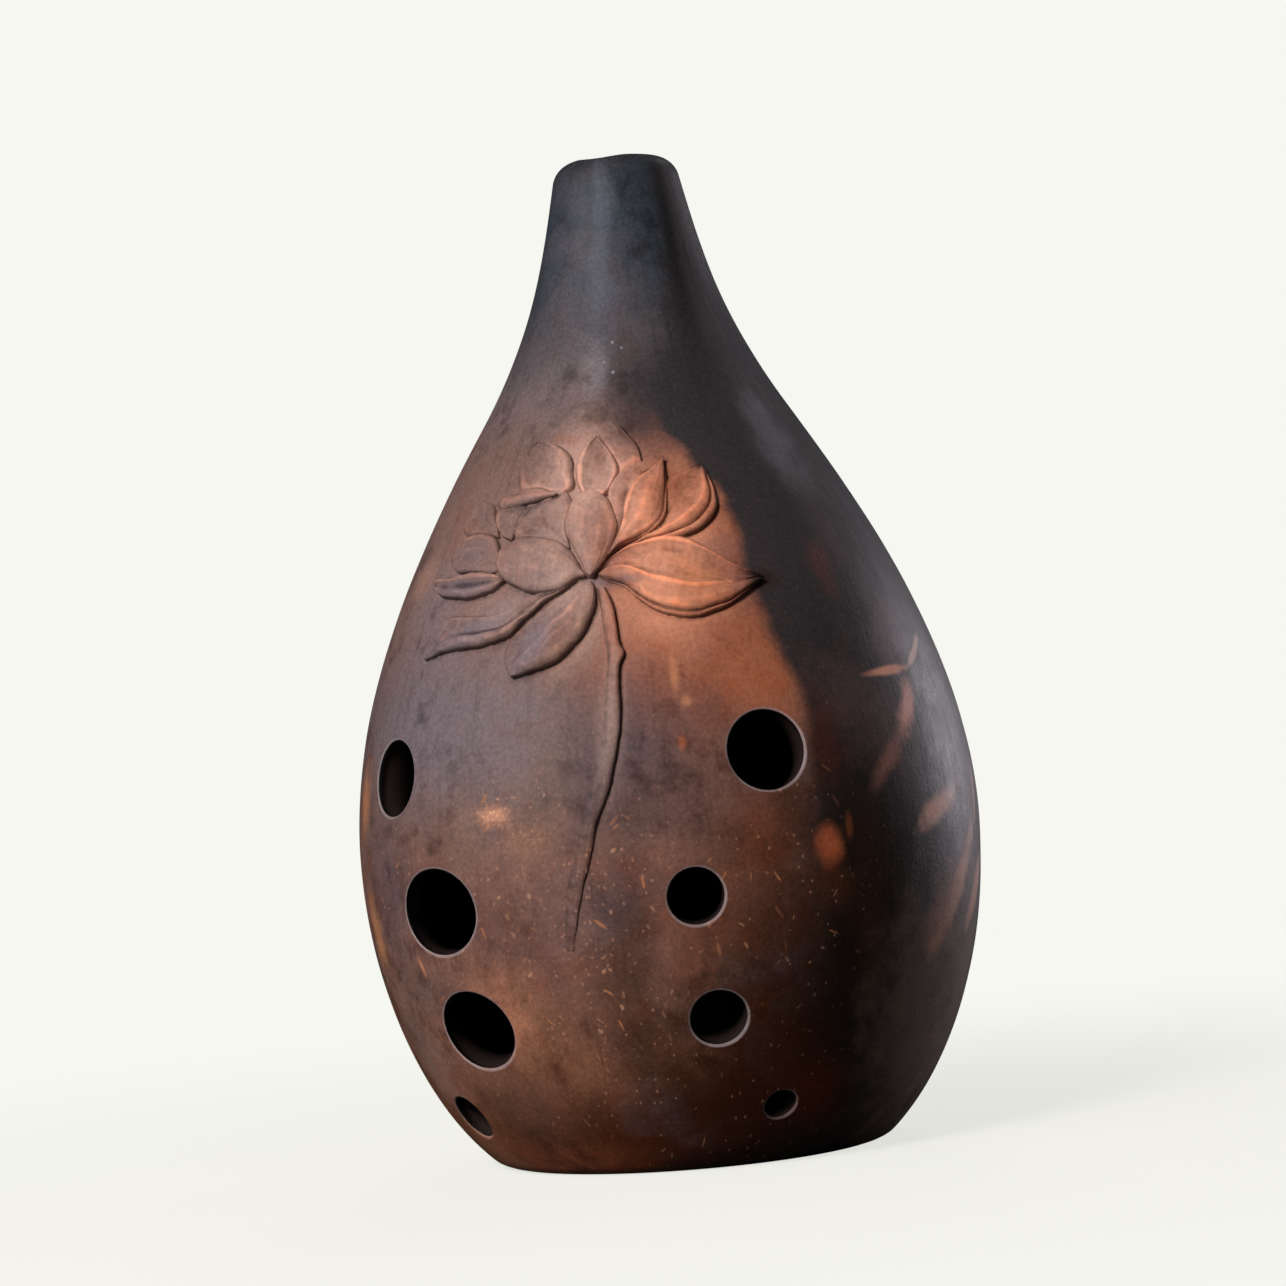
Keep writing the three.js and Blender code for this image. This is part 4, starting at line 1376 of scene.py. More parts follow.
class Shader:
    """Builds the nodes of one material or world."""

    def __init__(self, name: str, store: bpy.types.bpy_prop_collection | None = None) -> None:
        """Start an empty material, or a world.

        Args:
            name: its name.
            store: what it is kept in: materials, or worlds.
        """
        self.block = (bpy.data.materials if store is None else store).new(name)
        self.block.use_nodes = True
        self.tree = self.block.node_tree
        self.tree.nodes.clear()

    def raw(self, kind: str, settings: dict, values: dict) -> bpy.types.ShaderNode:
        """Add a node.

        Args:
            kind: the node's type.
            settings: its properties, and under "stops" a ramp's (place, colour) pairs.
            values: numbers, vectors or wires for its sockets, by name or number.

        Returns:
            The node.
        """
        node = self.tree.nodes.new(kind)
        for name, value in settings.items():
            if name == "stops":
                self._fill_ramp(node.color_ramp, value)
            else:
                setattr(node, name, value)
        for key, value in values.items():
            socket = node.inputs[key]
            if isinstance(value, Wire):
                self.tree.links.new(value.socket, socket)
            else:
                socket.default_value = value
        return node

    def node(self, kind: str, settings: dict, values: dict, output: "str | int" = 0) -> Wire:
        """Add a node and return one of its outputs."""
        return Wire(self, self.raw(kind, settings, values).outputs[output])

    def _fill_ramp(self, ramp: bpy.types.ColorRamp, stops: tuple) -> None:
        """Give a ramp its stops.

        Args:
            ramp: the ramp.
            stops: its places and colours.
        """
        for place, _ in stops[len(ramp.elements):]:
            ramp.elements.new(place)
        for element, (place, tint) in zip(ramp.elements, stops):
            element.position = place
            element.color = tint

    def blend(self, share: "Wire | float", first: "Wire | tuple", second: "Wire | tuple",
              how: str = "MIX") -> Wire:
        """Mix two colours."""
        settings = {"data_type": "RGBA", "blend_type": how, "clamp_factor": True}
        return self.node("ShaderNodeMix", settings, {0: share, 6: first, 7: second}, 2)

    def vector(self, operation: str, first: Wire, second: "Wire | tuple | None" = None,
               scale: float | None = None, output: "str | int" = 0) -> Wire:
        """One Vector Math node."""
        values = {
            key: value for key, value in ((0, first), (1, second), ("Scale", scale)) if value is not None}
        return self.node("ShaderNodeVectorMath", {"operation": operation}, values, output)

    def attribute(self, name: str) -> Wire:
        """A number that the mesh keeps at its points."""
        return self.node("ShaderNodeAttribute", {"attribute_name": name}, {}, "Fac")

    def seen_by_camera(self) -> Wire:
        """1 for what the camera sees straight, else 0."""
        return self.node("ShaderNodeLightPath", {}, {}, "Is Camera Ray")

    def noise(self, at: Wire, wave: float, detail: float = 3.0, roughness: float = 0.55) -> Wire:
        """Soft noise from 0 to 1 with waves of about that many millimetres."""
        values = {"Vector": at, "Scale": 1 / wave, "Detail": detail, "Roughness": roughness}
        return self.node("ShaderNodeTexNoise", {"noise_dimensions": "3D"}, values, "Fac")


@dataclass(frozen=True)
class FireCloud:
    """A patch of colour on the clay: mostly a mark that flame or smoke leaves, and in a few places painted
    light.

    The angle is in degrees from the middle of the front, and behind from the
    middle of the back. Width is in degrees and rise in millimetres, both half
    sizes. The edge is the share of them over which the patch fades.
    """

    angle: float
    level: float
    width: float
    rise: float
    tint: str
    strength: float = 1.0
    ragged: float = 0.35
    lean: float = 0.0
    edge: float = 0.9


def fire_clouds(*rows: tuple) -> tuple[FireCloud, ...]:
    """Make clouds from rows of numbers in the order of their fields."""
    return tuple(FireCloud(*row) for row in rows)


@dataclass(frozen=True)
class FiredClay:
    """The finish of the whole object: ground colours, fire clouds, smoke and grit, with painted light on the
    holes' edges and low on the right side.
    """

    top: float = 155.0
    by_height: tuple[tuple[float, str], ...] = (
        (0, "7c3f24"), (8, "784e38"), (16, "8a624e"), (28, "846356"), (36, "7c5b52"), (48, "7f6056"),
        (60, "766059"), (72, "766663"), (84, "836962"), (98, "886e66"), (108, "7c645d"), (116, "766868"),
        (124, "565357"), (133, "40464f"), (143, "3d454f"), (155, "363d45"),
    )
    clouds: tuple[FireCloud, ...] = fire_clouds(
        (-28, 69, 27, 14, "77707a", 0.75, 0.5), (-54, 97, 22, 20, "826b66", 0.7),
        (-45, 91, 7, 4, "b08c7a", 0.5, 0.6), (-42, 31, 12, 12, "8a7068", 0.5, 0.6),
        (-34, 86, 12, 8, "807478", 0.6, 0.5), (-12, 90, 12, 6, "9c847e", 0.5, 0.6),
        (-44, 47, 12, 9, "66595f", 0.6, 0.6), (-15, 26, 9, 9, "b27e62", 0.6, 0.6),
        (-8, 17, 9, 6, "8c6048", 0.5, 0.6), (-45, 17, 10, 9, "927a72", 0.55, 0.5),
        (31, 86, 27, 28, "9c6047", 1.0, 0.25, 0.0, 0.8), (24, 91, 15, 14, "e0a284", 0.95, 0.25),
        (5, 103, 16, 9, "c6a396", 0.8), (27, 100, 6, 4, "b07860", 0.6, 0.5),
        (19, 110, 7, 3, "4c3d3a", 0.75, 0.6), (15, 62, 12, 15, "5b5258", 0.8, 0.5),
        (22, 74, 8, 8, "8e5c4a", 0.4, 0.6), (28, 53, 20, 13, "6e5048", 0.65),
        (35, 47, 7, 6, "8e543a", 0.75, 0.6), (41, 72, 8, 12, "aa6c4e", 0.8, 0.35, 0.0, 0.8),
        (29, 115, 21, 10, "37363b", 0.9, 0.4, 0.0, 0.95), (40, 27, 20, 27, "3b1d0d", 0.9),
        (22, 4, 48, 9, "3f1a07", 0.85), (24, 11, 12, 6, "2c1507", 0.7), (16, 18, 13, 8, "3f2415", 0.7, 0.6),
        (38, 15, 13, 9, "1d0c03", 0.8), (11, 33, 8, 18, "4a3226", 0.65, 0.6),
        (27, 38, 8, 10, "84543e", 0.5, 0.6), (42, 0, 26, 3, "0d0603", 0.8), (-58, 6, 22, 7, "9a5832", 0.7),
        (-28, 1, 34, 4, "9c6042", 0.65), (4, 120, 8, 5.5, "8f878c", 0.65, 0.8),
        (8, 150, 9, 6, "5a606b", 0.6, 0.8), (-25, 157, 60, 5, "1a1b20", 0.75),
    )
    smoke_edge: Stops = (
        (0, 42), (8, 42), (18, 43.5), (30, 46), (42, 47.5), (50, 44), (58, 45.5), (66, 47), (75, 44.2),
        (83, 43.2), (92, 42), (99, 39.5), (105, 34), (110, 29.5), (118, 31), (128, 44), (155, 56),
    )
    behind: tuple[FireCloud, ...] = fire_clouds(
        (30, 100, 34, 26, "4a372f", 0.8), (-42, 48, 36, 26, "5c3d30", 0.85), (10, 22, 40, 18, "402a20", 0.8),
        (-18, 82, 22, 16, "3b373a", 0.7), (-96, 84, 16, 44, "2f2b2e", 0.8, 0.5),
        (-92, 46, 13, 26, "3a302f", 0.8, 0.5), (-100, 140, 20, 16, "3a3539", 0.8),
        (8, 126, 26, 14, "45444a", 0.7, 0.5), (26, 64, 20, 9, "4c423f", 0.6, 0.7),
        (-8, 44, 14, 9, "181312", 0.7, 0.7),
    )
    hazes_and_rim_light: tuple[FireCloud, ...] = fire_clouds(
        # The pale patches at 77 and 93 degrees, low on the right side towards its edge, are painted rim
        # light.
        (77, 19, 17, 20, "8d7972", 0.85, 0.7), (58, 68, 9, 9, "5c4b49", 0.6, 1.0),
        (-17, 12, 12, 8, "6a5048", 0.4, 0.5), (93, 22, 11, 22, "a8988e", 0.75, 0.7),
        (11.2, 68, 2.6, 11, "b89a8e", 0.45, 0.5, -0.1), (-19, 52, 4, 8, "8f7468", 0.45, 0.7),
        (57, 40, 6, 15, "3e2419", 0.4, 0.9), (50.5, 62, 4.5, 7, "54291a", 0.6, 0.9),
        (48, 10, 10, 6, "5c2204", 0.8, 0.5), (36, 0.5, 24, 3.4, "080301", 0.95),
        (-45, 3, 14, 6, "b08468", 0.5, 0.5), (67, 63, 8, 13, "5c4a4a", 0.5, 0.9),
        (77, 78, 7, 7, "86767a", 0.5, 1.1), (69, 108, 10, 8, "77737d", 0.65, 0.9, -0.3),
        (66, 130, 8, 11, "4d484e", 0.5, 0.8), (70, 92, 6, 9, "56474a", 0.5, 0.9),
        (52, 128, 8, 9, "3d3536", 0.5, 0.6), (36, 14, 16, 14, "3c1602", 0.75, 0.4),
    )
    streaks: tuple[FireCloud, ...] = fire_clouds(
        (48.9, 47.1, 2.9, 3.4, "a85c3c", 1.0, 0.6, -0.2, 0.7),
        (52.9, 49.4, 0.9, 2.2, "7d452c", 0.7, 0.6, 0.0, 0.8), (49.5, 41.5, 4.5, 3.5, "4d2a1a", 0.6, 0.6),
        (70.1, 71.6, 7.6, 0.75, "e2a48c", 0.95, 0.5, 0.05, 0.6),
        (82.3, 74.2, 6.5, 0.7, "e8c4b6", 0.95, 0.6, 0.42, 0.5),
        (72.8, 66.0, 5.6, 2.0, "e6aa9c", 0.9, 0.9, 0.84, 0.75),
        (64.5, 58.6, 7.0, 1.7, "94665c", 0.8, 0.6, 0.64), (42.0, 54.5, 4.0, 3.5, "4a2a1c", 0.6, 0.6),
        (30.0, 67.0, 5.0, 5.0, "6e4a42", 0.5, 0.6), (78.0, 50.8, 8.0, 2.1, "f0b8a0", 0.92, 0.9, 0.31, 0.7),
        (84.0, 38.6, 11.5, 2.4, "f8c0a4", 0.97, 0.8, 0.8, 0.7),
        (95.3, 37.3, 8.5, 2.0, "f0c0aa", 0.97, 0.8, 0.77, 0.7),
        (97.0, 52.0, 5.5, 1.4, "c8a498", 0.85, 0.6, 1.2, 0.6),
        (65.0, 30.5, 3.4, 0.3, "3a322c", 0.7, 0.4, 1.1, 0.8),
        (23.6, 73.4, 1.0, 3.6, "c58a66", 0.7, 0.7, 0.0, 0.8),
        (25.4, 69.4, 1.3, 0.9, "c58a66", 0.7, 0.6, 0.0, 0.8),
        (23.8, 63.5, 0.9, 1.3, "a9623f", 0.6, 0.7, 0.0, 0.8),
        (-11.5, 55.2, 4.6, 1.8, "b8846a", 0.7, 1.0, -0.1), (-12.0, 55.4, 3.0, 1.0, "dba88a", 0.5, 1.7, -0.1),
        (-5.0, 51.0, 5.0, 3.0, "a87e66", 0.35, 0.9), (-54.0, 58.5, 3.6, 5.5, "bd8460", 0.75, 1.2, -0.1),
        (-53.0, 38.5, 3.8, 6.5, "c08a64", 0.8, 1.2, 0.1),
        (-34.5, 33.2, 0.6, 1.9, "c98a68", 0.8, 0.5, 0.5, 0.6), (62, 88, 3.5, 4.5, "6e443a", 0.5, 0.8),
        (79, 36, 9, 4.5, "b8846c", 0.7, 0.8, 0.8), (5.5, 139, 8, 17, "5d6470", 0.65, 0.9, 0.0, 0.95),
        (58, 141, 7, 17, "161516", 0.6, 0.3, -0.35, 0.95), (12.4, 124.7, 0.6, 0.26, "a9a9b0", 0.8),
        (16.6, 123.7, 0.6, 0.24, "9a9aa2", 0.8), (8.4, 121.7, 0.5, 0.22, "a9a9b0", 0.8),
        (12.8, 119.9, 0.6, 0.26, "a9a9b0", 0.8),
    )
    grit: tuple[FireCloud, ...] = fire_clouds(
        (-11.8, 55.2, 4.2, 2.0, "e3b494", 0.7, 0.3, -0.1), (-5.5, 51.5, 5.0, 3.0, "c8957a", 0.3, 0.3),
    )
    petal_clouds: tuple[FireCloud, ...] = fire_clouds(
        (45.4, 86.6, 4.5, 1.6, "33241f", 0.85), (15.0, 88.0, 4.5, 0.9, "77676a", 0.6),
        (-4.0, 79.8, 6.0, 2.6, "807780", 0.6, 0.6, 0.75), (-25.0, 89.2, 8.0, 1.6, "706b76", 0.7),
        (-19.0, 82.4, 9.0, 2.2, "807780", 0.6, 0.6, 0.25), (-31.0, 80.0, 5.0, 1.4, "726b74", 0.55, 0.35, 0.2),
        (-25.0, 94.5, 6.0, 3.0, "7b6d71", 0.5, 0.8), (-24.0, 99.5, 4.0, 2.0, "6a5e62", 0.5, 0.8),
        (-10.0, 100.5, 6.0, 1.2, "54494c", 0.6, 0.8), (9.0, 88.0, 3.5, 0.9, "6c6068", 0.7, 0.35, -0.2),
        (4.0, 77.5, 6.0, 3.0, "a58779", 0.6, 0.6, 0.6), (-9.0, 85.5, 5.0, 2.5, "94807c", 0.45, 0.6),
        (2.5, 88.0, 7.0, 5.0, "b59a90", 0.7, 0.6), (7.5, 82.0, 4.0, 5.0, "b09488", 0.5, 0.6),
        (0.0, 94.0, 8.0, 3.5, "b89c90", 0.4, 0.6), (31.0, 86.5, 7.0, 4.5, "cf8a62", 0.6, 0.6),
        (28.0, 101.0, 3.0, 3.0, "8a5138", 0.5), (8.5, 107.0, 3.2, 3.6, "7d5a4d", 0.6, 0.35, -0.9),
    )
    smoke_high: str = "37363a"
    smoke_low: str = "100b07"
    smoke_share: float = 0.97
    # The chamber's smoke black; the outside also lays it as painted shade where the holes' soft edges turn
    # in.
    inside: str = "0a0807"
    inside_pale: str = "1a1413"
    bore: str = "2a211f"
    # Pale grey painted highlight on the holes' soft edges, and its share.
    rim: str = "a2999d"
    rim_highlight_share: float = 0.62
    roughness: float = 0.5
    gloss: float = 0.42


class ClayPainter:
    """Lays the finish on one material, layer over layer."""

    def __init__(self, finish: FiredClay, name: str) -> None:
        """Chart the clay and make the noises that the layers share.

        Args:
            finish: what is laid on.
            name: the material's name.
        """
        self.finish = finish
        self.shader = shader = Shader(name)
        self.at = shader.vector("SCALE", shader.node("ShaderNodeTexCoord", {}, {}, "Object"), scale=1 / METRE)
        warps = [
            shader.node(
                "ShaderNodeTexNoise", {}, {"Vector": self.at, "Scale": 1 / wave, "Detail": detail}, "Color")
            for wave, detail in ((9, 4.0), (34, 2.0))]
        small, wide = (shader.vector("SCALE", shader.vector("SUBTRACT", warp, (0.5, 0.5, 0.5)), scale=reach)
                       for warp, reach in zip(warps, (5.0, 12.0)))
        shift = shader.vector("ADD", small, wide)
        self.warped = shader.vector("ADD", self.at, shift)
        self.chart, self.warped_angle, self.warped_level = self._chart(self.warped)
        self.plain, self.angle, self.level = self._chart(self.at)
        self.fine = self._chart(shader.vector("ADD", self.at, shader.vector("SCALE", shift, scale=0.06)))[0]
        self.grain_soft = shader.noise(self.at, 14, 5, 0.6)
        self.grain_fine = shader.noise(self.at, 3.2, 5, 0.62)
        self.grain_tiny = shader.noise(self.at, 0.55, 2, 0.5)
        self.rag = shader.noise(self.at, 5.5, 5, 0.65) * 2 - 1

    def _chart(self, at: Wire, behind: bool = False) -> tuple[Wire, Wire, Wire]:
        """Find where places lie on the body.

        Args:
            at: the places, in millimetres.
            behind: whether angles run from the middle of the back.

        Returns:
            Angle and height as one vector, then the angle in degrees and the height.
        """
        parts = self.shader.raw("ShaderNodeSeparateXYZ", {}, {0: at}).outputs
        x, y, z = (Wire(self.shader, part) for part in list(parts)[:3])
        sign = -1.0 if behind else 1.0
        turn = self.shader.node("ShaderNodeMath", {"operation": "ARCTAN2"}, {0: x * sign, 1: y * -sign})
        degrees = turn * math.degrees(1)
        return self.shader.node("ShaderNodeCombineXYZ", {}, {0: degrees, 1: z, 2: 0.0}), degrees, z

    def _lay(self, under: Wire, chart: Wire, clouds: tuple[FireCloud, ...]) -> Wire:
        """Lay clouds over the colour so far.

        Args:
            under: the colour so far.
            chart: angle and height at each place.
            clouds: the clouds, in order.

        Returns:
            The new colour.
        """
        for cloud in clouds:
            under = self.shader.blend(self._cover(chart, self.rag, cloud), under, colour(cloud.tint))
        return under

    def _cover(self, chart: Wire, rag: Wire, cloud: FireCloud) -> Wire:
        """Find how much of the clay a cloud covers.

        Args:
            chart: angle and height at each place.
            rag: noise that frays the cloud's edge.
            cloud: the cloud.

        Returns:
            Shares from 0 to 1.
        """
        shader = self.shader
        spot = shader.vector("SUBTRACT", chart, (cloud.angle, cloud.level, 0.0))
        if cloud.lean:
            ahead, aside = math.cos(cloud.lean), math.sin(cloud.lean)
            ways = ((ahead / cloud.width, aside / cloud.width, 0.0),
                    (-aside / cloud.rise, ahead / cloud.rise, 0.0))
            along, across = (shader.vector("DOT_PRODUCT", spot, way, output="Value") for way in ways)
            spot = shader.node("ShaderNodeCombineXYZ", {}, {0: along, 1: across, 2: 0.0})
        else:
            spot = shader.vector("MULTIPLY", spot, (1 / cloud.width, 1 / cloud.rise, 0.0))
        away = shader.vector("LENGTH", spot, output="Value") + rag * cloud.ragged
        return away.rise(1 + cloud.edge / 2, 1 - cloud.edge) * cloud.strength

    def _flecks(self, pitch: float, length: float, width: float, kept: float) -> Wire:
        """Scatter small dashes, each at its own angle.

        Args:
            pitch: how far apart they are, in millimetres.
            length: half of a dash's length.
            width: half of its width.
            kept: the share of them that is there.

        Returns:
            A mask, 1 on a dash.
        """
        shader = self.shader
        flat = shader.vector("MULTIPLY", self.plain, (0.8, 1.0, 0.0))
        cells = shader.raw("ShaderNodeTexVoronoi", {"voronoi_dimensions": "2D", "feature": "F1"},
                           {"Vector": flat, "Scale": 1 / pitch, "Randomness": 1.0})
        offset = shader.vector("SUBTRACT", flat, Wire(shader, cells.outputs["Position"]))
        chance = shader.raw("ShaderNodeSeparateColor", {}, {0: Wire(shader, cells.outputs["Color"])}).outputs
        red, green, blue = (Wire(shader, part) for part in list(chance)[:3])
        turned = shader.node("ShaderNodeVectorRotate", {"rotation_type": "Z_AXIS"},
                             {"Vector": offset, "Angle": red * 2.4 - 1.2})
        shape = shader.vector("MULTIPLY", turned, (1 / width, 1 / length, 0.0))
        away = shader.vector("LENGTH", shape, output="Value") + (blue - 0.5) * 0.7
        return away.rise(1.15, 0.6) * green.rise(1 - kept, 1 - kept + 0.02)

    def _over(self, share: Wire, tint: "str | tuple", how: str = "MIX") -> None:
        """Lay a share of one colour over what is there."""
        self.tint = self.shader.blend(share, self.tint, colour(tint) if isinstance(tint, str) else tint, how)

    def chamber(self) -> bpy.types.Material:
        """Finish the chamber's wall, which is only smoked.

        Returns:
            The material.
        """
        finish = self.finish
        black, pale = colour(finish.inside), colour(finish.inside_pale)
        self.tint = self.shader.blend(self.grain_soft.rise(0.3, 0.7), black, pale)
        depth = self.shader.attribute(DEPTH)
        self._over(depth.rise(0.6, 0.95) * depth.rise(1.95, 1.2), finish.bore)
        return self._surface(
            0.75 + self.grain_fine * 0.1, self.grain_fine * 0.6 + self.grain_tiny * 0.4, 0.25, 0.1)

    def outside(self) -> bpy.types.Material:
        """Finish the outside, with painted light and shade on the relief and on the holes' soft edges.

        Returns:
            The material.
        """
        shader, finish = self.shader, self.finish
        self._ground()
        self._mottle()
        self._smoke()
        streak = self._burnish()
        self.tint = self._lay(self.tint, self.fine, finish.hazes_and_rim_light + finish.streaks)
        self._specks()
        # Painted light and shade of the relief: a painted highlight on crests and on edges facing the light,
        # painted shade in grooves and under petals.
        tone = shader.attribute(RELIEF_SHADING)
        self.tint = self._lay(self.tint, self.fine, finish.petal_clouds)
        self._over(tone.rise(0.07, 0.75) * 0.6, (1.85, 1.62, 1.45, 1.0), "MULTIPLY")
        self._over(tone.rise(-0.08, -0.85) * 0.6, "1f130f")
        speckle = self.grain_tiny.rise(0.36, 0.64)
        self._over(speckle * 0.32, "b29e96", "SOFT_LIGHT")
        self._over((1 - speckle) * 0.32, "2c2422", "SOFT_LIGHT")
        depth = shader.attribute(DEPTH)
        # Painted highlight: a pale rim on the holes' soft edges, broken by noise and weaker low down.
        rim_highlight = depth.rise(0.08, 0.38) * finish.rim_highlight_share * self.rag.rise(-0.9, 0.5) * self.level.rise(-8, 22)
        self._over(rim_highlight, finish.rim)
        # Painted shade: the dark inside colour over the edge's inner part, reaching higher up on the upper
        # left.
        self._over(depth.rise(0.75, 1.0), finish.inside)
        rough = finish.roughness + (self.grain_fine - 0.5) * 0.22 + (streak - 0.5) * 0.16
        return self._surface(
            rough, self.grain_fine * 0.35 + self.grain_tiny * 0.3 + streak * 0.35, 0.2, finish.gloss)

    def _ground(self) -> None:
        """Start with the clay's colour by its height, and lay the fire clouds on it."""
        top, place = self.finish.top, self.warped_level * (1 / self.finish.top)
        ramp = tuple((level / top, colour(code)) for level, code in self.finish.by_height)
        ground = self.shader.node("ShaderNodeValToRGB", {"stops": ramp}, {0: place})
        self.tint = self._lay(ground, self.chart, self.finish.clouds)

    def _mottle(self) -> None:
        """Break up the colour with soft mottles, and with blotches low down."""
        mottle = self.grain_soft * 0.55 + self.grain_fine * 0.45
        self._over(mottle.rise(0.5, 0.66) * 0.5, "b89482", "SOFT_LIGHT")
        self._over(mottle.rise(0.5, 0.34) * 0.6, "35292a", "SOFT_LIGHT")
        self._over(self.shader.noise(self.warped, 26, 5, 0.6).rise(0.5, 0.7) * 0.4, "6a6066")
        blotch = self.shader.noise(self.at, 9, 4, 0.62)
        lower = self.level.rise(72, 44)
        self._over(blotch.rise(0.46, 0.72) * lower * 0.6, (1.5, 1.45, 1.4, 1.0), "MULTIPLY")
        self._over(blotch.rise(0.52, 0.28) * lower * 0.6, (0.55, 0.52, 0.52, 1.0), "MULTIPLY")

    def _smoke(self) -> None:
        """Blacken the right side and the back with smoke that has clouds of its own."""
        shader, finish, level, rag, widest = self.shader, self.finish, self.level, self.rag, 180.0
        back_chart = self._chart(self.warped, True)[0]
        stops = tuple(
            (z / finish.top, (a / widest, a / widest, a / widest, 1.0)) for z, a in finish.smoke_edge)
        edge = shader.node("ShaderNodeValToRGB", {"stops": stops}, {0: level * (1 / finish.top)}) * widest
        soft = level.rise(44, 66) * level.rise(126, 106)
        past = self.warped_angle - edge + rag * 1.2
        sharp, faint = past.rise(-1.4, 2.6), past.rise(-11.0, 7.0)
        right = shader.node("ShaderNodeMix", {"data_type": "FLOAT"}, {0: soft, 2: faint, 3: sharp}, 0)
        left = (self.warped_angle + rag * 8.0).rise(-68, -112)
        share = shader.node("ShaderNodeMath", {"operation": "MAXIMUM"}, {0: right, 1: left})
        dark = shader.blend(
            self.warped_level.rise(36, 92), colour(finish.smoke_low), colour(finish.smoke_high))
        dark = self._lay(dark, back_chart, finish.behind)
        self.tint = shader.blend(share * finish.smoke_share, self.tint, dark)

    def _burnish(self) -> Wire:
        """Draw upright strokes of the burnishing stone, and rub the dark sides pale in places.

        Returns:
            The strokes' height.
        """
        shader, angle, level = self.shader, self.angle, self.level
        behind = self._chart(self.at, True)[0]
        along = shader.node("ShaderNodeCombineXYZ", {}, {0: angle * 0.8, 1: level * 0.07, 2: 0.0})
        wide, fine = shader.noise(along, 3.4, 4, 0.6), shader.noise(along, 0.9, 3, 0.5)
        off_seam = shader.node("ShaderNodeMath", {"operation": "ABSOLUTE"}, {0: angle}).rise(172, 140)
        streak = (wide * 0.6 + fine * 0.4 - 0.5) * off_seam + 0.5
        self._over(streak.rise(0.5, 0.75) * 0.3, "b3a09a", "SOFT_LIGHT")
        self._over(streak.rise(0.48, 0.28) * 0.35, "2a211f", "SOFT_LIGHT")
        rub = shader.noise(shader.vector("MULTIPLY", behind, (0.8, 0.25, 1.0)), 3.0, 5, 0.68)
        side = (angle.rise(60, 74) + angle.rise(-96, -124)) * level.rise(22, 44)
        self._over(rub.rise(0.52, 0.68) * side * 0.42, "6c6265")
        self._over(rub.rise(0.47, 0.36) * side * 0.6, "151213")
        return streak

    def _specks(self) -> None:
        """Scatter tan and orange flecks of grit, most of them low on the front."""
        level, angle, patchy = self.level, self.angle, self.grain_soft
        low = level.rise(76, 52) * patchy.rise(0.34, 0.6) * angle.rise(62, 40) * angle.rise(-115, -80) * 0.8
        dashes, short = self._flecks(4.9, 0.95, 0.2, 0.26), self._flecks(3.1, 0.5, 0.17, 0.2)
        dots = self._flecks(1.7, 0.22, 0.17, 0.3)
        middle = level.rise(66, 56) * level.rise(12, 26) * angle.rise(-30, -16) * angle.rise(22, 6)
        crowd = middle * patchy.rise(0.4, 0.56)
        crumbs, bits = self._flecks(1.25, 0.24, 0.16, 0.24), self._flecks(2.9, 0.42, 0.26, 0.22)
        for cloud in self.finish.grit:
            spilt = self._cover(self.plain, patchy, cloud)
            self._over(self._flecks(0.62, 0.26, 0.2, 0.55) * spilt, cloud.tint)
        self._over(dashes * low * 0.8, "bd8058")
        self._over(short * low * 0.65, "b98868")
        self._over(crumbs * crowd * 0.42, "c79274")
        self._over(bits * crowd * 0.6, "cfa083")
        self._over(dots * (low * 0.5 + 0.08), "bd9076")

    def _surface(self, rough: Wire, height: Wire, relief: float, gloss: float) -> bpy.types.Material:
        """Join colour, roughness and bump in the surface shader.

        Args:
            rough: the roughness.
            height: the fine height, from 0 to 1.
            relief: how high that is, in millimetres.
            gloss: the specular level.

        Returns:
            The material.
        """
        bump = self.shader.node(
            "ShaderNodeBump", {}, {"Strength": 0.6, "Distance": relief * METRE, "Height": height})
        values = {"Base Color": self.tint, "Roughness": rough, "Normal": bump, "Specular IOR Level": gloss}
        surface = self.shader.node("ShaderNodeBsdfPrincipled", {}, values)
        self.shader.raw("ShaderNodeOutputMaterial", {}, {"Surface": surface})
        return self.shader.block


@dataclass(frozen=True)
class Lamp:
    """An area lamp that faces the vessel.

    Azimuth runs in degrees from the vessel's front towards +X, and elevation is in
    degrees over the height that it is aimed at. A shiny lamp shows in the gloss.
    """

    name: str
    azimuth: float
    elevation: float
    distance: float
    width: float
    height: float
    watts: float
    tint: str
    aim: float = 75.0
    shiny: bool = False

    def hang(self) -> None:
        """Put the lamp in the scene."""
        turn, rise = math.radians(self.azimuth), math.radians(self.elevation)
        away = Vector((math.sin(turn) * math.cos(rise), -math.cos(turn) * math.cos(rise), math.sin(rise)))
        data = bpy.data.lights.new(self.name, "AREA")
        data.shape, data.size, data.size_y = "RECTANGLE", self.width * METRE, self.height * METRE
        data.energy, data.color = self.watts, colour(self.tint)[:3]
        lamp = bpy.data.objects.new(self.name, data)
        lamp.location = (Vector((0, 0, self.aim)) + away * self.distance) * METRE
        lamp.rotation_euler = (-away).to_track_quat("-Z", "Y").to_euler()
        lamp.visible_glossy = self.shiny
        bpy.context.collection.objects.link(lamp)


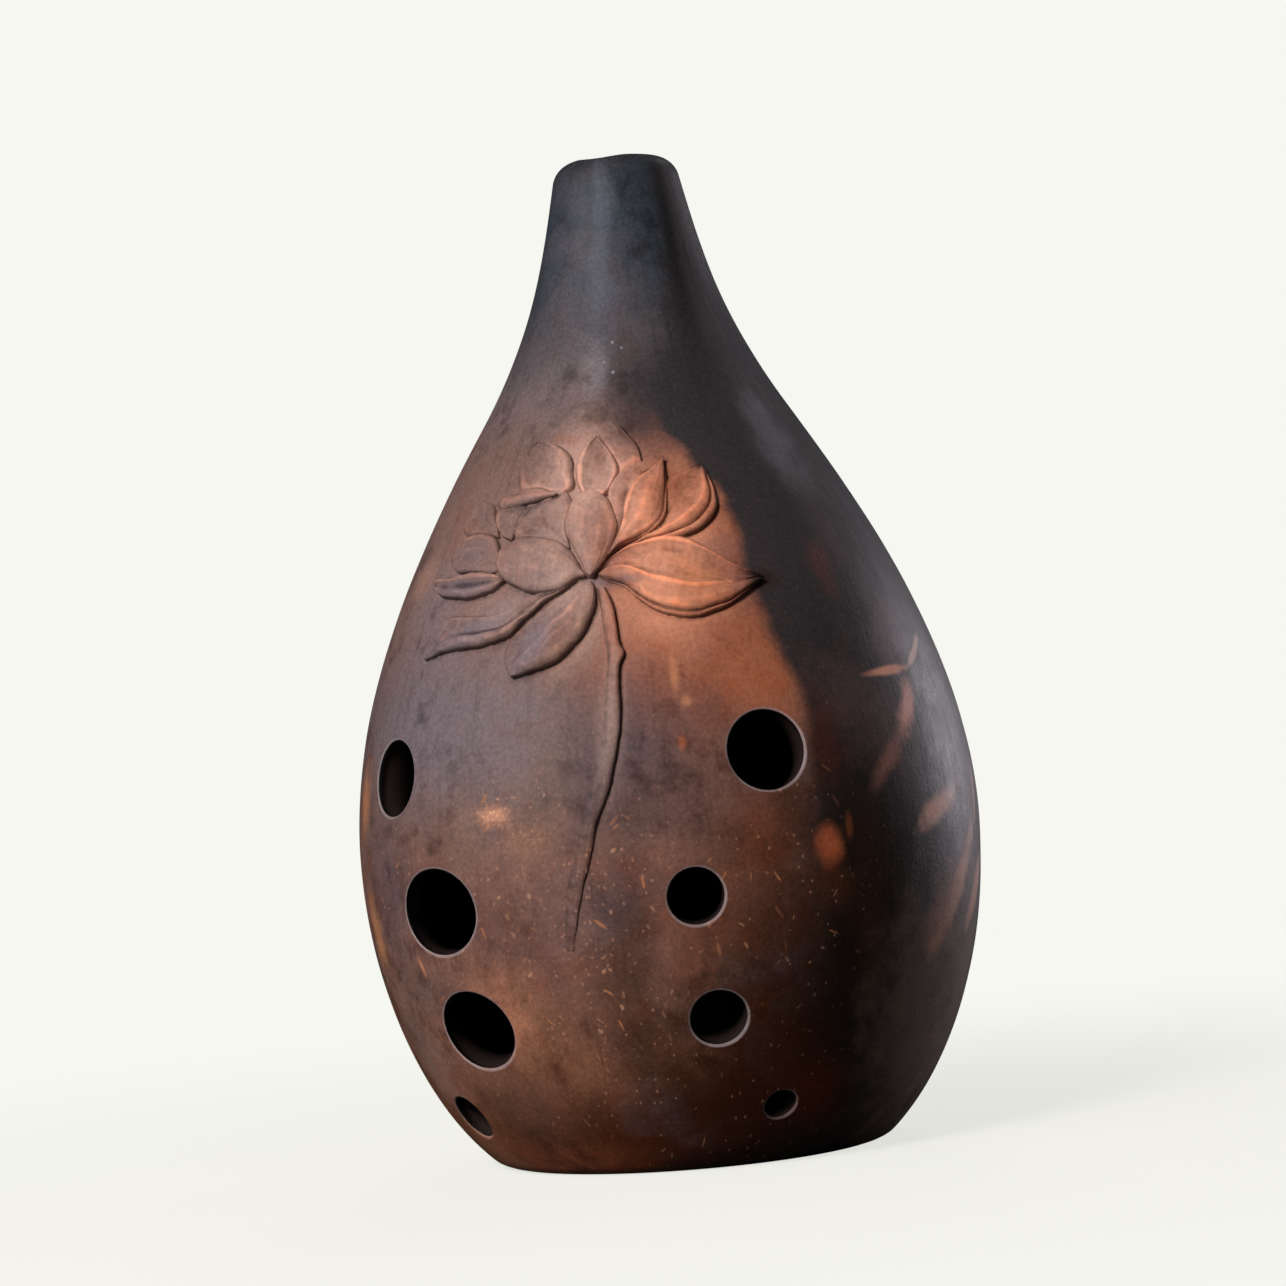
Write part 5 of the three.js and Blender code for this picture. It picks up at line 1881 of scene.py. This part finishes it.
@dataclass(frozen=True)
class Studio:
    """Camera, lamps, and a pale floor that curves up into a backdrop."""

    camera_azimuth: float = math.radians(20.25)
    camera_distance: float = 594.4
    camera_level: float = 67.3
    aim_left: float = 1.68
    aim_level: float = 79.2
    roll: float = math.radians(4.7)
    lens: float = 106.4
    sensor: float = 36.0
    paleness: str = "f7f7f1"
    cloth: str = "f2f2ec"
    bounce: str = "4a4642"
    floor_reach: float = 2600.0
    backdrop_bend: float = 900.0
    air_strength: float = 0.05
    shadow_share: float = 0.22
    lamps: tuple[Lamp, ...] = (
        Lamp("key", -8, 30, 1100, 280, 280, 10.7, "fdf5f0", aim=72),
        Lamp("sheen", -36, 26, 1100, 420, 600, 3.4, "f2f3fa", shiny=True),
        Lamp("rim", 149, 6, 900, 250, 380, 2.85, "efe8f2", aim=38, shiny=True),
        Lamp("shoulder", 160, 38, 1000, 300, 300, 0.45, "eceaf2", aim=115, shiny=True),
        Lamp("back", 196, 28, 1200, 500, 500, 4.0, "f6f2f0"),
        Lamp("fill", 0, 0, 1500, 900, 700, 2.5, "fbf6f2"),
    )

    def camera(self) -> None:
        """Set up the camera at the viewing place, rolled so that the vessel leans left."""
        right = Vector((math.cos(self.camera_azimuth), math.sin(self.camera_azimuth), 0))
        eye = Vector((right.y, -right.x, 0)) * self.camera_distance
        eye.z = self.camera_level
        ahead = (right * -self.aim_left + Vector((0, 0, self.aim_level)) - eye).normalized()
        level_right = ahead.cross(Vector((0, 0, 1))).normalized()
        level_up = level_right.cross(ahead)
        up = level_up * math.cos(self.roll) + level_right * math.sin(self.roll)
        side = level_right * math.cos(self.roll) - level_up * math.sin(self.roll)
        data = bpy.data.cameras.new("camera")
        data.lens, data.sensor_width = self.lens, self.sensor
        data.clip_start, data.clip_end = 0.01, 20.0
        camera = bpy.data.objects.new("camera", data)
        turn = Matrix((side, up, -ahead)).transposed().to_4x4()
        camera.matrix_world = Matrix.Translation(eye * METRE) @ turn
        bpy.context.collection.objects.link(camera)
        bpy.context.scene.camera = camera

    def light(self) -> None:
        """Hang the lamps: key from the left, sheen, rim and shoulder for the gloss, back and fill."""
        for lamp in self.lamps:
            lamp.hang()
        air = Shader("studio_air", bpy.data.worlds)
        dim, pale = (air.node("ShaderNodeBackground", {}, {"Color": tint, "Strength": strength})
                     for tint, strength in (
                         (colour("ffffff"), self.air_strength), (colour(self.paleness), 1.0)))
        both = air.node("ShaderNodeMixShader", {}, {0: air.seen_by_camera(), 1: dim, 2: pale})
        air.raw("ShaderNodeOutputWorld", {}, {"Surface": both})
        bpy.context.scene.world = air.block

    def floor(self) -> None:
        """The floor and backdrop as one curved sheet, pale to the camera and keeping the shadow."""
        reach, bend = self.floor_reach, self.backdrop_bend
        arc = np.radians(np.linspace(0, 90, 25))
        turning = reach / 2 + bend * np.sin(arc)
        back = np.concatenate([[-reach, -reach / 3, 0.0, reach / 3], turning, [reach / 2 + bend]])
        rise = np.concatenate([[0, 0, 0, 0], bend * (1 - np.cos(arc)), [reach * 1.3]])
        right = np.array([math.cos(self.camera_azimuth), math.sin(self.camera_azimuth), 0.0])
        ahead = np.array([-right[1], right[0], 0.0])
        sides = np.linspace(-reach * 1.4, reach * 1.4, 9)
        grid = (back[:, None, None] * ahead + sides[None, :, None] * right
                + rise[:, None, None] * np.array([0, 0, 1.0]))
        numbers = np.arange(grid[..., 0].size).reshape(grid.shape[:2])
        corners = (numbers[:-1, :-1], numbers[:-1, 1:], numbers[1:, 1:], numbers[1:, :-1])
        quads = np.stack(corners, axis=-1).reshape(-1, 4)
        mesh = smooth_mesh("floor", grid.reshape(-1, 3), quads.tolist())
        sheet = bpy.data.objects.new("floor", mesh)
        bpy.context.collection.objects.link(sheet)
        mesh.materials.append(self._paper())

    def _paper(self) -> bpy.types.Material:
        """Make pale paper that looks even, with the vessel's shadow left on it.

        Returns:
            The material.
        """
        shader = Shader("pale_paper")
        own = shader.node("ShaderNodeTexCoord", {}, {}, "Object")
        near = shader.vector("LENGTH", own, output="Value").rise(0.3, 0.04)
        seen, tint = shader.seen_by_camera(), colour(self.paleness)
        grain = shader.noise(shader.vector("SCALE", own, scale=1 / METRE), 1.4, 2)
        cloth = shader.blend(grain.rise(0.3, 0.7), tint, colour(self.cloth))
        matt = shader.node(
            "ShaderNodeBsdfDiffuse", {}, {"Color": shader.blend(seen, colour(self.bounce), cloth)})
        glow = shader.node("ShaderNodeEmission", {}, {"Color": tint, "Strength": 1.0})
        even = shader.node(
            "ShaderNodeMixShader", {}, {0: seen * (1 - near * self.shadow_share), 1: matt, 2: glow})
        shader.raw("ShaderNodeOutputMaterial", {}, {"Surface": even})
        return shader.block


SLOTS = {"base_disc": "foot_clay", "front_shell": "front_clay", "back_shell": "back_clay",
         "mouth_ring": "mouth_clay",
         "lotus_stem": "stem_clay"}


def add_piece(node: str, mesh: bpy.types.Mesh, *materials: bpy.types.Material) -> None:
    """Put a finished mesh in the scene in place of its node.

    Args:
        node: the node that it stands for.
        mesh: its mesh.
        materials: its materials in order.
    """
    for material in materials:
        mesh.materials.append(material)
    piece = bpy.data.objects.new(f"{node}_clay", mesh)
    bpy.context.collection.objects.link(piece)
    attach(piece, ROOT)
    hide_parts(node)
    SLOTS.get(node, "petal_clay")
    log.info("%s: %d points, %d faces", piece.name, len(mesh.vertices), len(mesh.polygons))


def main() -> None:
    """Build the studio, the vessel and the lotus."""
    logging.basicConfig(level=logging.INFO, format="%(name)s: %(message)s")
    bpy.context.scene.view_settings.view_transform = "Standard"
    studio = Studio()
    studio.camera()
    studio.light()
    studio.floor()
    clay = FiredClay()
    body_clay = ClayPainter(clay, "fired_clay").outside()
    chamber_clay = ClayPainter(clay, "smoked_chamber").chamber()
    outline = Outline()
    lotus = Lotus(outline)
    vessel = Vessel(outline, lotus)
    points, tone = vessel.build()
    normals = vessel.mesh.smooth_normals(points)
    for node in ("base_disc", "front_shell", "back_shell", "mouth_ring"):
        add_piece(node, vessel.mesh.piece_mesh(node, points, normals, tone), body_clay, chamber_clay)
    for k, petal in enumerate(lotus.petals):
        add_piece(petal.node, lotus.relief_piece(petal, lotus.petals[:k]), body_clay)
    add_piece("lotus_stem", lotus.relief_piece(lotus.stem, lotus.petals), body_clay)


if __name__ == "__main__":
    main()
